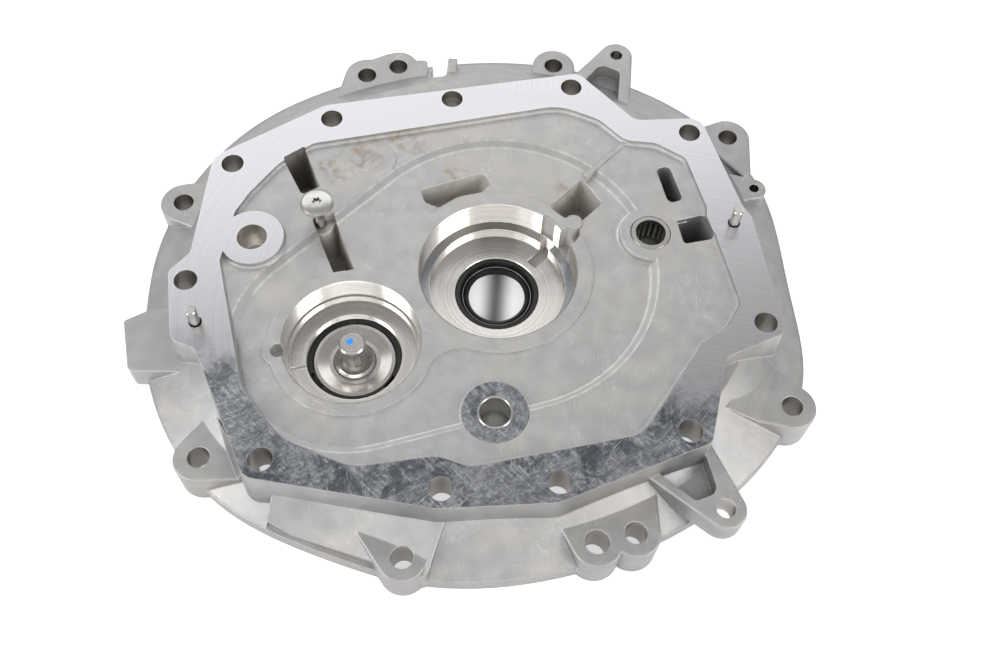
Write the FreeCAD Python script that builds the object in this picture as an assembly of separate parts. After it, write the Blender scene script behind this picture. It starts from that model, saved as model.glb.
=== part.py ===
"""Die cast clutch housing of a manual gearbox, lying on its engine face.

Frame: origin on the input bore axis in the plane of the engine face, +Z up to the gear side.
All sizes are in millimetres.
"""
import FreeCAD, Part
import math
import os

Vector = FreeCAD.Vector
UP = Vector(0, 0, 1)
CLEAR = 1.0  # how far a cutter runs past the face it opens

# Heights above the engine face
FLANGE_TOP = 40.0
RIM_TOP = 9.0
CONE_TOP = 31.0
LUG_TOP = 20.0
ARM_TOP = 28.0
ARM_THICK = 13.0
BLOCK_TOP = 19.0
BLOCK_BOTTOM = 5.0
OUTER_FLOOR_DEPTH = 3.0
INNER_STEP = 3.5
BORE_BOSS_RISE = 1.0
FLOOR_THICK = 6.0
POCKET_FLOOR = 8.0
BOLT_BOSS_DEPTH = 19.5

# Bell shell
BELL_CENTRE = (-10.0, 3.0)
CONE_FOOT_SCALE = 0.996
CONE_TOP_SCALE = 0.795
CAVITY_SCALE = 0.86
CAVITY_TOP_SCALE = 0.75
CAVITY_SHOULDER = 16.0

# Bolt holes
FLANGE_HOLE_R = 5.5
BOLT_BOSS_R = 10.5
BOLT_ACCESS_R = 9.5
LUG_HOLE_R = 5.0
DOWEL_LUG_HOLE_R = 5.5
ARM_HOLE_R = 4.4
SMALL_ARM_HOLE_R = 3.3

# Input shaft bore and its seal
INPUT_BORE_R = 38.0
INPUT_BORE_FLOOR = 12.0
INPUT_SEAT_DEPTH = 15.3
INPUT_SHOULDER_R = 33.4
FLOOR_CONE = 0.8
INPUT_BOSS_R = 46.0
SEAL_OUTER_R = 21.0
SEAL_INNER_R = 14.0
SEAL_THICK = 7.0
SEAL_SINK = 0.6
SEAL_STOP_R = 17.5
BORE_CHAMFER = 0.6
BORE_WALL = 6.0
SEAL_WALL = 5.0

# Layshaft bore, beside the input bore
LAY_BORE = (-65.3, -44.5)
LAY_BORE_R = 32.0
LAY_BORE_FLOOR = 19.0
BOSS_FILLET = 17.0
LAY_STEP_R = 30.6
LAY_STEP_Z = 23.0
LAY_BOSS_R = 38.5
LAY_RECESS_R = 22.8
LAY_RECESS_FLOOR = 10.5

# Spindle and its ring in the layshaft bore
SPINDLE_PLATE_R = 19.8
SPINDLE_PLATE_TOP = 15.5
SPINDLE_POST_R = 6.2
SPINDLE_POST_TOP = 32.0
SPINDLE_DISH = 1.8
SPINDLE_GAP = 0.3
JOURNAL_R = 8.0
JOURNAL_BOTTOM = 5.0
RING_HEIGHT = 4.5
KEY_ANGLE = -62.0
KEY_SLOT_DROP = 3.0
KEY_SLOT_LENGTH = 10.0
KEY_SLOT_DEPTH = 1.9
KEY_SLOT_WIDTH = 3.2
KEY_GAP = 0.2

# Inner floor: hull of two circles about the two bores
INNER_FLOOR_R = 74.0
LAY_FLOOR_R = 54.0
FLOOR_BLEND = 2.0
BANK_RUN = 4.5

# Needle bearing for the short shaft on the right
NEEDLE = (73.4, 25.2)
NEEDLE_SHAFT_R = 7.0
ROLLER_R = 1.0
SHELL_WALL = 1.0
NEEDLE_LENGTH = 16.0
NEEDLE_BOSS_R = 15.0
ROLLER_COUNT = 17
LIP_WALL = 0.8
CAGE_WALL = 1.2

# Shift rail bush
RAIL = (3.1, -76.7)
RAIL_R = 7.0
BUSH_WALL = 1.1
BUSH_LENGTH = 16.0
BUSH_PROUD = 0.6
RAIL_PAD_R = 15.5
RAIL_PAD_DROP = 4.2

# Dowel pins in the gearbox flange
PINS = {"dowel_pin_left": (-136.7, -43.3), "dowel_pin_right": (114.0, 32.3)}
PIN_R = 2.5
PIN_LENGTH = 20.0
PIN_STAND = 10.5
PIN_HOLE_R = 3.15
PIN_SINK = 1.2
PIN_NECK = 0.2

# Screw that stands at the end of the lower long slot
SCREW = (-88.7, 20.6)
SCREW_R = 2.5
SCREW_HEAD_R = 8.0
SCREW_HEAD_THICK = 3.4
SCREW_HEAD_TOP = 51.0
SCREW_TIP = 22.0
SCREW_BOSS_R = 6.6
SCREW_BOSS_TOP = 32.4
RUNNING_GAP = 0.05
EDGE_ROUND = 1.0

FLANGE_HOLES = [(-135.7, 47.9), (-90.5, 80.6), (-30.1, 99.0), (31.7, 112.4), (93.5, 87.1),
                (-145.5, -21.4), (126.5, -23.4), (89.8, -81.3), (32.8, -109.4),
                (-17.7, -116.1), (-96.3, -108.3)]

# Corners with their radii: x, y, radius
FLANGE_OUTLINE = [(-145.8, 51.5, 10), (-95, 89.1, 12), (35.2, 122.4, 6), (65.5, 93.0, 8),
                  (99.3, 97.2, 7), (118.6, 43.3, 4), (123.0, 36.5, 4), (135.6, -28.0, 5),
                  (107.4, -43.0, 6), (99.3, -86.2, 4.5),
                  (33.0, -118.8, 20), (-19.0, -125.2, 15), (-102.2, -116.8, 8), (-134.3, -56.8, 5),
                  (-146.3, -53.2, 6), (-154.6, -17.3, 5), (-146.3, -6.2, 6)]
RECESS_OUTLINE = [(-131.8, -9.5, 2), (-110.5, -74.5, 22), (-91, -97.0, 28), (-57, -109.2, 25),
                  (-21, -101.2, 14),
                  (-6, -105.4, 14), (69.0, -84.4, 16), (97.8, -35.6, 4), (108.8, -26.6, 8), (115.6, -13.6, 5),
                  (104.9, 24.6, 2), (100.8, 32, 3), (101.0, 41, 4), (91.2, 70.8, 6), (76, 79.2, 12),
                  (60.6, 79.4, 10), (46.6, 92.2, 14), (26, 99.6, 25), (-98, 64.0, 8), (-113, 50, 20),
                  (-124.6, 31, 20), (-129.4, 19.5, 2)]
RIM_POINTS = [(-173, -4), (-163.6, 55), (-134, 101.6), (-93, 130.6), (-40, 150), (15, 155),
              (66, 143.5), (106, 119.5), (136, 80), (148, 15), (151, -38),
              (131, -79), (87, -117), (25, -142.5), (-35, -146), (-62, -139.8), (-92, -130.2),
              (-120, -116.0), (-146.0, -90), (-167, -45)]

# Mounting lugs: hole x, y, tip radius, then two base points under the case wall
LUGS = {
    "top_left_a": (-79.5, 129.3, 12.0, (-94, 112), (-56, 112)),
    "top_left_b": (-63.0, 137.0, 11.0, (-86, 112), (-49, 118)),
    "top": (22.7, 145.3, 11.6, (8, 118), (36, 118)),
    "right_top": (118.2, 102.5, 11.8, (97, 105), (129.4, 73)),
    "right_boss": (130.6, 69.5, 6.3, (112, 80), (119, 60)),
    "right_low": (141.8, -56.0, 11.4, (127.5, -31), (103.4, -62.2)),
    "bottom_a": (51.3, -128.2, 11.5, (29.5, -114), (80, -96)),
    "bottom_b": (68.3, -122.9, 11.2, (31, -112), (77, -99)),
    "bottom": (-32.8, -141.1, 10.9, (-66, -116), (-10.4, -118)),
    "left_low": (-128.2, -101.3, 11.6, (-126, -78), (-104, -110)),
    "left_top": (-162.2, 36.5, 11.6, (-140, 54), (-144, 18)),
}
BIG_HOLE_LUG = "bottom_a"
TAPPED_LUG = "right_boss"
GUSSETS = {
    "right_low": LUGS["right_low"],
    "left_top": LUGS["left_top"],
    "left_low": LUGS["left_low"],
    "bottom": LUGS["bottom"][:3] + ((-44, -118), LUGS["bottom"][4]),
}
ARMS = {
    "arm_top": (56.8, 148.6, 8.8, (22.5, 117), (63.6, 92), SMALL_ARM_HOLE_R),
    "arm_bottom": (106.7, -111.9, 9.4, (70, -98), (100.5, -80), ARM_HOLE_R),
}
ARM_POCKETS = {
    "arm_top": [(40.6, 120, 1), (40.6, 130.5, 3), (48.3, 141.5, 5), (59.0, 137, 4), (57.4, 108, 1)],
    "arm_bottom": [(76.5, -96.6, 1), (93.6, -109.4, 3), (103.8, -104.6, 5), (98.4, -86.4, 2)],
}
ARM_POCKET_DEPTH = 9.0
BLOCK_OUTLINE = [(-177.2, -33.9, 2), (-165, -26.2, 2), (-140, -20, 1), (-130, -58.2, 1), (-169.4, -60.2, 3)]
GUSSET_START = 12.5
GUSSET_TOP = 27.5
TWIN_WEB = [(-86, 136.5, 1), (-75.5, 142.4, 3), (-68.5, 146.4, 1), (-66, 136, 1)]
PANEL = [(-89.6, -108, 1), (-98.6, -142, 1), (-30, -160, 1), (-14, -112, 1)]
PANEL_SINK = 2.0
PLATE_OUTLINE = [(-88, -108, 1), (-94.5, -126.5, 1), (-79, -133.6, 3), (-62, -139.0, 6),
                 (-46, -146.5, 8), (-22, -150, 6), (-12, -112, 1)]
PLATE_ENDS = (-96.0, -10.0)
PLATE_LEFT = [(-106, 1), (-106, 25.5), (-118.5, 25.5), (-128, 9.5), (-128, 1)]
PLATE_RIGHT = [(-106, 1), (-106, 25.5), (-125, 25.5), (-152, 19), (-152, 1)]
TAB_LEDGE = [(-58, 120, 1), (-54, 142.4, 2), (-47.4, 142.8, 2), (-45.8, 120, 1)]
NOTCH = (-40.6, 131.5)
NOTCH_R = 4.6
TAB_WIDTH = 5.0
TAB_END = 145.5
TAB_START = 126.0

# Slots and pockets in the gear side floor
UPPER_SLOT = [(-111.4, 54.0, 1), (-101.8, 62.0, 1), (-91.0, 39.6, 1), (-99.6, 33.8, 2)]
LOWER_SLOT = [(-92.7, 20.2, 2), (-82.4, 24.9, 2), (-68.4, -5.2, 1), (-78.6, -8.6, 1)]
SIDE_SLOT = [(76.2, 64.6, 3), (83.0, 67.6, 3), (90.0, 46.4, 3), (82.4, 43.4, 3)]
CORNER_POCKET = [(86.2, 33.6, 1), (99.8, 38.2, 2), (104.6, 24.0, 2), (89.6, 19.6, 2)]
DEEP_POCKET = [(23.8, 40.6, 2), (38.8, 58.6, 2), (50.2, 43.6, 2), (40.4, 32.2, 1), (30.8, 32.2, 1),
               (24.6, 37.0, 1.5)]
POCKET_LAND = (35.7, 30.3)
POCKET_LAND_R = 4.2
KIDNEY_SLOT = [(-42.2, 44.6, 2), (-10.6, 58.4, 4), (-6.2, 51.0, 3), (-11.0, 44.6, 2), (-22, 41.6, 14),
               (-31.6, 33.6, 2), (-39.2, 36.6, 3)]
POCKET_WALL = 4.0
POCKET_DRAFT = 1.2
SHALLOW_POCKET_FLOOR = 18.0

# Stepped hole in the boss on the left of the flange
STEP_HOLE = (-118.9, 5.2)
STEP_BOSS_R = 15.4
STEP_HOLE_R = 7.2
STEP_DRILL_R = 4.2
STEP_DEPTH = 13.0

# Oil channels
CHANNEL_ANGLE = 48.0
WALL_NOTCH = [(19.4, 30.4, 0.5), (20.8, 33.8, 1.5), (25.4, 31.8, 1.5), (27.4, 28.4, 1), (24.6, 25, 0.5)]
SIDE_NOTCH = [(27.6, 22.4, 0.5), (30.0, 25.4, 0.6), (34.4, 28.2, 1), (36.0, 22, 1), (33.2, 16.4, 0.5)]
SIDE_NOTCH_STEP = [(33, 25.6, 0.5), (34.4, 28.2, 0.6), (38.4, 28.4, 1.5), (39.6, 23.6, 1.5),
                   (36.6, 18.4, 1), (33.2, 16.4, 0.5)]
SIDE_STEP_FLOOR = 28.0
FLOOR_GROOVE_WIDTH = 6.0
FLOOR_GROOVE_DEPTH = 2.5
LAY_GROOVE_ANGLE = 198.0
LAY_GROOVE_WIDTH = 1.8
KEY_NOTCH_R = 3.6
KEY_NOTCH_DEPTH = 9.0
DATE_DISC = (-64.3, 58.8)
DATE_DISC_R = 9.0
DATE_DISC_RISE = 0.4
RIDGE_START = (61.0, 80.6)
RIDGE_END = (24.6, 38.4)
RIDGE_WIDTH = 2.2
RIDGE_RISE = 0.8

# Ribs on the engine side
RIB_THICK = 5.0
RIB_BOTTOM = 12.0
RIB_ANGLES = [12, 62, 100, 140, 250, 300, 335]

OUTER_FLOOR = FLANGE_TOP - OUTER_FLOOR_DEPTH
INNER_FLOOR = OUTER_FLOOR - INNER_STEP
BORE_RIM = INNER_FLOOR + BORE_BOSS_RISE
INPUT_SEAT = BORE_RIM - INPUT_SEAT_DEPTH
CEILING = INNER_FLOOR - FLOOR_THICK
SHELL_R = NEEDLE_SHAFT_R + 2 * ROLLER_R + SHELL_WALL
BUSH_R = RAIL_R + BUSH_WALL
RAIL_PAD = FLANGE_TOP - RAIL_PAD_DROP
SEAL_TOP = INPUT_BORE_FLOOR - SEAL_SINK
SEAL_BOTTOM = SEAL_TOP - SEAL_THICK


def cylinder(centre, radius, low, high):
    """Upright cylinder about a point in plan."""
    return Part.makeCylinder(radius, high - low, Vector(centre[0], centre[1], low), UP)


def rounded_wire(corners, height):
    """Closed wire through corners given as x, y, radius, each corner rounded by a tangent arc."""
    starts, middles, ends = [], [], []
    count = len(corners)
    for index in range(count):
        x, y, radius = corners[index]
        corner = Vector(x, y, height)
        before = Vector(*corners[index - 1][:2], height) - corner
        after = Vector(*corners[(index + 1) % count][:2], height) - corner
        half = before.getAngle(after) / 2
        back = before.normalize()
        on = after.normalize()
        reach = radius / math.tan(half)
        middle = (back + on).normalize() * (radius / math.sin(half) - radius)
        starts.append(corner + back * reach)
        middles.append(corner + middle)
        ends.append(corner + on * reach)
    edges = []
    for index in range(count):
        edges.append(Part.Arc(starts[index], middles[index], ends[index]).toShape())
        edges.append(Part.LineSegment(ends[index], starts[(index + 1) % count]).toShape())
    return Part.Wire(edges)


def prism(corners, low, high):
    """Upright prism of a rounded outline."""
    return Part.Face(rounded_wire(corners, low)).extrude(UP * (high - low))


def offset(corners, distance):
    """Outline moved outwards by a distance, its corner radii following."""
    area = sum(a[0] * b[1] - b[0] * a[1] for a, b in zip(corners, corners[1:] + corners[:1]))
    side = 1 if area > 0 else -1
    moved = []
    count = len(corners)
    for index in range(count):
        x, y, radius = corners[index]
        before = Vector(x - corners[index - 1][0], y - corners[index - 1][1], 0).normalize()
        following = corners[(index + 1) % count]
        after = Vector(following[0] - x, following[1] - y, 0).normalize()
        normal_a = Vector(before.y, -before.x, 0) * side
        normal_b = Vector(after.y, -after.x, 0) * side
        bisector = (normal_a + normal_b).normalize()
        reach = distance / bisector.dot(normal_a)
        turn = (before.x * after.y - before.y * after.x) * side
        new_radius = radius + distance if turn > 0 else radius - distance
        moved.append((x + bisector.x * reach, y + bisector.y * reach, max(new_radius, 0.4)))
    return moved


def drafted(corners, low, high, grow_low, grow_high=0.0):
    """Prism whose walls lean: the outline grows by one amount at the bottom and another at the top."""
    wires = [rounded_wire(offset(corners, grow_low), low), rounded_wire(offset(corners, grow_high), high)]
    return Part.makeLoft(wires, True, True)


def round_edges_at(solid, height, radius):
    """Round every edge that lies wholly at one height."""
    edges = [e for e in solid.Edges if all(abs(v.Z - height) < 1e-6 for v in e.Vertexes)
             and abs(e.BoundBox.ZMax - e.BoundBox.ZMin) < 1e-6]
    return solid.makeFillet(radius, edges)


def tangent_point(point, centre, radius, other):
    """Point where the line from a base point touches the tip circle, on the side away from the other base."""
    dx, dy = centre[0] - point[0], centre[1] - point[1]
    distance = math.hypot(dx, dy)
    base = math.atan2(dy, dx)
    spread = math.asin(radius / distance)
    length = math.sqrt(distance ** 2 - radius ** 2)
    for sign in (1, -1):
        angle = base + sign * spread
        ux, uy = math.cos(angle), math.sin(angle)
        centre_side = ux * dy - uy * dx
        other_side = ux * (other[1] - point[1]) - uy * (other[0] - point[0])
        if centre_side * other_side > 0:
            return (point[0] + ux * length, point[1] + uy * length)
    return (point[0] + ux * length, point[1] + uy * length)


def lug_face(centre, radius, base_a, base_b, height):
    """Lug outline: a round tip about the hole and two straight flanks to the base points."""
    touch_a = tangent_point(base_a, centre, radius, base_b)
    touch_b = tangent_point(base_b, centre, radius, base_a)
    away = Vector(centre[0] - (base_a[0] + base_b[0]) / 2, centre[1] - (base_a[1] + base_b[1]) / 2, 0)
    tip = Vector(centre[0], centre[1], height) + away.normalize() * radius
    points = [Vector(p[0], p[1], height) for p in (base_a, touch_a, touch_b, base_b)]
    edges = [Part.LineSegment(points[0], points[1]).toShape(), Part.Arc(points[1], tip, points[2]).toShape(),
             Part.LineSegment(points[2], points[3]).toShape(),
             Part.LineSegment(points[3], points[0]).toShape()]
    return Part.Face(Part.Wire(edges))


def lug(centre, radius, base_a, base_b, low, high):
    """Lug as a prism with its top edge rounded."""
    solid = lug_face(centre, radius, base_a, base_b, low).extrude(UP * (high - low))
    return round_edges_at(solid, high, EDGE_ROUND)


def gusset(centre, radius, base_a, base_b):
    """Web that climbs from the flat round a lug's hole to the case wall, inside the lug's own outline."""
    across = (base_a[0] + base_b[0]) / 2 - centre[0]
    along = (base_a[1] + base_b[1]) / 2 - centre[1]
    run = math.hypot(across, along)
    foot = LUG_TOP - CLEAR
    profile = [(GUSSET_START, foot), (GUSSET_START, LUG_TOP), (run, GUSSET_TOP), (run + radius, GUSSET_TOP),
               (run + radius, foot)]
    wide = 4 * radius + run
    points = [Vector(s, -wide, z) for s, z in profile]
    wedge = Part.Face(Part.makePolygon(points + points[:1])).extrude(Vector(0, 2 * wide, 0))
    wedge.rotate(Vector(0, 0, 0), UP, math.degrees(math.atan2(along, across)))
    wedge.translate(Vector(centre[0], centre[1], 0))
    column = lug_face(centre, radius, base_a, base_b, foot).extrude(UP * (GUSSET_TOP - foot))
    return column.common(wedge)


def rim_wire(scale, height):
    """Bell outline, a closed smooth curve, scaled about the bell's centre."""
    cx, cy = BELL_CENTRE
    points = [Vector(cx + (x - cx) * scale, cy + (y - cy) * scale, height) for x, y in RIM_POINTS]
    curve = Part.BSplineCurve()
    curve.interpolate(Points=points, PeriodicFlag=True)
    return Part.Wire(curve.toShape())


def bell_loft(scale_low, low, scale_high, high):
    """Tapered solid between two scaled bell outlines."""
    return Part.makeLoft([rim_wire(scale_low, low), rim_wire(scale_high, high)], True, True)


def bar(centre, angle, near, far, width, low, high):
    """Straight bar that runs outwards from a centre at an angle."""
    solid = Part.makeBox(far - near, width, high - low, Vector(near, -width / 2, low))
    solid.rotate(Vector(0, 0, 0), UP, angle)
    solid.translate(Vector(centre[0], centre[1], 0))
    return solid


def hull_of_circles(grow, height):
    """Closed wire around the input circle and the layshaft circle, with their outer tangents."""
    radius_a = INNER_FLOOR_R + grow
    radius_b = LAY_FLOOR_R + grow
    distance = math.hypot(*LAY_BORE)
    heading = math.atan2(LAY_BORE[1], LAY_BORE[0])
    swing = math.acos((radius_a - radius_b) / distance)
    normals = [Vector(math.cos(heading + s * swing), math.sin(heading + s * swing), 0) for s in (1, -1)]
    lay = Vector(LAY_BORE[0], LAY_BORE[1], height)
    origin = Vector(0, 0, height)
    along = Vector(math.cos(heading), math.sin(heading), 0)
    edges = [Part.Arc(lay + normals[0] * radius_b, lay + along * radius_b,
                      lay + normals[1] * radius_b).toShape(),
             Part.LineSegment(lay + normals[1] * radius_b, origin + normals[1] * radius_a).toShape(),
             Part.Arc(origin + normals[1] * radius_a, origin - along * radius_a,
                      origin + normals[0] * radius_a).toShape(),
             Part.LineSegment(origin + normals[0] * radius_a, lay + normals[0] * radius_b).toShape()]
    return Part.Wire(edges)


def inner_floor_cutter():
    """Sunken inner floor with its sloping bank."""
    low_wire = hull_of_circles(-BANK_RUN / 5, INNER_FLOOR)
    high_wire = hull_of_circles(BANK_RUN * 4 / 5, OUTER_FLOOR + CLEAR * 0.2)
    return Part.makeLoft([low_wire, high_wire], True, True)


def flared_boss(centre, radius, foot, top, flare):
    """Round boss with a coved foot, turned about its own axis."""
    profile = [Vector(0, 0, foot - CLEAR), Vector(radius + flare, 0, foot - CLEAR),
               Vector(radius + flare, 0, foot),
               Vector(radius, 0, foot + flare), Vector(radius, 0, top - EDGE_ROUND * 0.25),
               Vector(radius - EDGE_ROUND * 0.25, 0, top), Vector(0, 0, top)]
    cove_centre = Vector(radius + flare, 0, foot + flare)
    cove_middle = cove_centre + Vector(-1, 0, -1).normalize() * flare
    edges = []
    for index in range(len(profile)):
        start, end = profile[index], profile[(index + 1) % len(profile)]
        if index == 2:
            edges.append(Part.Arc(start, cove_middle, end).toShape())
        else:
            edges.append(Part.LineSegment(start, end).toShape())
    solid = Part.Face(Part.Wire(edges)).revolve(Vector(0, 0, 0), UP, 360)
    solid.translate(Vector(centre[0], centre[1], 0))
    return solid


def bell_envelope():
    """Outer form of the casting before anything is hollowed."""
    rim = Part.Face(rim_wire(1.0, 0)).extrude(UP * RIM_TOP)
    cone = bell_loft(CONE_FOOT_SCALE, RIM_TOP, CONE_TOP_SCALE, CONE_TOP)
    sunk = bell_loft(CONE_FOOT_SCALE, RIM_TOP - PANEL_SINK, CONE_TOP_SCALE, CONE_TOP - PANEL_SINK)
    cone = cone.cut(prism(PANEL, RIM_TOP, FLANGE_TOP).cut(sunk))
    ends = [Part.makePolygon([Vector(x, y, z) for y, z in section + section[:1]])
            for x, section in zip(PLATE_ENDS, (PLATE_LEFT, PLATE_RIGHT))]
    plate = Part.makeLoft(ends, True, True).common(prism(PLATE_OUTLINE, 0, FLANGE_TOP))
    case = drafted(FLANGE_OUTLINE, RIM_TOP, FLANGE_TOP, 1.6)
    body = rim.fuse([cone, case])
    pieces = []
    for centre_x, centre_y, radius, base_a, base_b in LUGS.values():
        pieces.append(lug((centre_x, centre_y), radius, base_a, base_b, 0, LUG_TOP))
    for centre_x, centre_y, radius, base_a, base_b in GUSSETS.values():
        pieces.append(gusset((centre_x, centre_y), radius, base_a, base_b))
    for name, (centre_x, centre_y, radius, base_a, base_b, hole) in ARMS.items():
        arm = lug((centre_x, centre_y), radius, base_a, base_b, ARM_TOP - ARM_THICK, ARM_TOP)
        pieces.append(arm.cut(prism(ARM_POCKETS[name], ARM_TOP - ARM_POCKET_DEPTH, ARM_TOP + CLEAR)))
    pieces.append(prism(TWIN_WEB, 0, LUG_TOP))
    pieces.append(prism(BLOCK_OUTLINE, BLOCK_BOTTOM, BLOCK_TOP))
    pieces.append(prism(TAB_LEDGE, 0, LUG_TOP))
    tab_left = NOTCH[0] + NOTCH_R
    pieces.append(Part.makeBox(TAB_WIDTH, TAB_END - TAB_START, LUG_TOP, Vector(tab_left, TAB_START, 0)))
    pieces.append(plate)
    return body.fuse(pieces).removeSplitter()


def pocket_list():
    """Every pocket of the gear side floor with the height of its bottom."""
    return [(UPPER_SLOT, POCKET_FLOOR), (LOWER_SLOT, POCKET_FLOOR), (SIDE_SLOT, POCKET_FLOOR),
            (CORNER_POCKET, POCKET_FLOOR), (DEEP_POCKET, POCKET_FLOOR + 2),
            (KIDNEY_SLOT, SHALLOW_POCKET_FLOOR)]


def engine_side_features(envelope):
    """Bosses, pocket walls and ribs that stand in the bell cavity."""
    needle_foot = OUTER_FLOOR - NEEDLE_LENGTH - BORE_WALL
    features = [cylinder((0, 0), INPUT_BORE_R + BORE_WALL, INPUT_BORE_FLOOR - BORE_WALL, CEILING + CLEAR),
                cylinder((0, 0), SEAL_OUTER_R + SEAL_WALL, SEAL_BOTTOM - 1.4, CEILING),
                cylinder(LAY_BORE, LAY_BORE_R + BORE_WALL, LAY_BORE_FLOOR - BORE_WALL, CEILING + CLEAR),
                cylinder(LAY_BORE, LAY_RECESS_R + SEAL_WALL, LAY_RECESS_FLOOR - SEAL_WALL, CEILING),
                cylinder(LAY_BORE, JOURNAL_R + SEAL_WALL, JOURNAL_BOTTOM - POCKET_WALL, CEILING),
                cylinder(NEEDLE, SHELL_R + BORE_WALL, needle_foot, CEILING + CLEAR),
                cylinder(RAIL, BUSH_R + BORE_WALL, RAIL_PAD - BUSH_LENGTH - BORE_WALL, CEILING + CLEAR),
                cylinder(STEP_HOLE, STEP_BOSS_R - 2, POCKET_FLOOR, CEILING + CLEAR)]
    for corners, bottom in pocket_list():
        features.append(prism(offset(corners, POCKET_WALL), bottom - POCKET_WALL, CEILING + CLEAR))
    for hole in FLANGE_HOLES:
        features.append(cylinder(hole, BOLT_BOSS_R, FLANGE_TOP - BOLT_BOSS_DEPTH, CEILING + CLEAR))
    for pin in PINS.values():
        features.append(cylinder(pin, PIN_HOLE_R + POCKET_WALL, POCKET_FLOOR, CEILING + CLEAR))
    reach = 170.0
    for angle in RIB_ANGLES:
        features.append(bar((0, 0), angle, INPUT_BORE_R, reach, RIB_THICK, RIB_BOTTOM, CEILING + CLEAR))
    for angle in (170, 215):
        features.append(bar(LAY_BORE, angle, LAY_BORE_R, reach, RIB_THICK, RIB_BOTTOM, CEILING + CLEAR))
    whole = features[0].fuse(features[1:])
    return whole.common(envelope)


def gear_side_floor(body):
    """Sink the two floor levels and raise their bosses again."""
    recess = prism(RECESS_OUTLINE, OUTER_FLOOR, FLANGE_TOP + CLEAR)
    recess = round_edges_at(recess, OUTER_FLOOR, FLOOR_BLEND)
    body = body.cut(recess)
    body = body.cut(inner_floor_cutter())
    bosses = [bore_land(),
              flared_boss(NEEDLE, NEEDLE_BOSS_R, INNER_FLOOR, OUTER_FLOOR, INNER_STEP * 0.7),
              flared_boss(RAIL, RAIL_PAD_R, INNER_FLOOR, RAIL_PAD, BORE_BOSS_RISE),
              flared_boss(STEP_HOLE, STEP_BOSS_R, OUTER_FLOOR, FLANGE_TOP, OUTER_FLOOR_DEPTH * 0.4),
              cylinder(STEP_HOLE, STEP_BOSS_R, CEILING, OUTER_FLOOR),
              cylinder(DATE_DISC, DATE_DISC_R, INNER_FLOOR, OUTER_FLOOR + DATE_DISC_RISE)]
    key = lay_key_centre()
    bosses.append(cylinder(key, KEY_NOTCH_R + POCKET_WALL, INNER_FLOOR - CLEAR, BORE_RIM))
    run = Vector(RIDGE_END[0] - RIDGE_START[0], RIDGE_END[1] - RIDGE_START[1], 0)
    ridge_corner = Vector(0, -RIDGE_WIDTH / 2, INNER_FLOOR)
    ridge = Part.makeBox(run.Length, RIDGE_WIDTH, INNER_STEP + RIDGE_RISE, ridge_corner)
    ridge.rotate(Vector(0, 0, 0), UP, math.degrees(math.atan2(run.y, run.x)))
    ridge.translate(Vector(RIDGE_START[0], RIDGE_START[1], 0))
    bosses.append(ridge)
    return body.fuse(bosses)


def bore_land():
    """Raised land round both bores, its waist rounded where the two circles meet."""
    foot = INNER_FLOOR - CLEAR
    land = cylinder((0, 0), INPUT_BOSS_R, foot, BORE_RIM).fuse(cylinder(LAY_BORE, LAY_BOSS_R, foot, BORE_RIM))
    land = land.removeSplitter()
    waist = []
    for edge in land.Edges:
        centre = edge.CenterOfMass
        from_input = math.hypot(centre.x, centre.y)
        from_lay = math.hypot(centre.x - LAY_BORE[0], centre.y - LAY_BORE[1])
        if abs(from_input - INPUT_BOSS_R) < 0.01 and abs(from_lay - LAY_BOSS_R) < 0.01:
            if edge.BoundBox.ZLength > BORE_BOSS_RISE:
                waist.append(edge)
    land = land.makeFillet(BOSS_FILLET, waist)
    return round_edges_at(land, BORE_RIM, BORE_BOSS_RISE * 0.4)


def lay_key_centre():
    """Centre of the half-round notch in the layshaft bore's rim."""
    angle = math.radians(193)
    reach = LAY_BORE_R + KEY_NOTCH_R * 0.5
    return (LAY_BORE[0] + reach * math.cos(angle), LAY_BORE[1] + reach * math.sin(angle))


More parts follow.
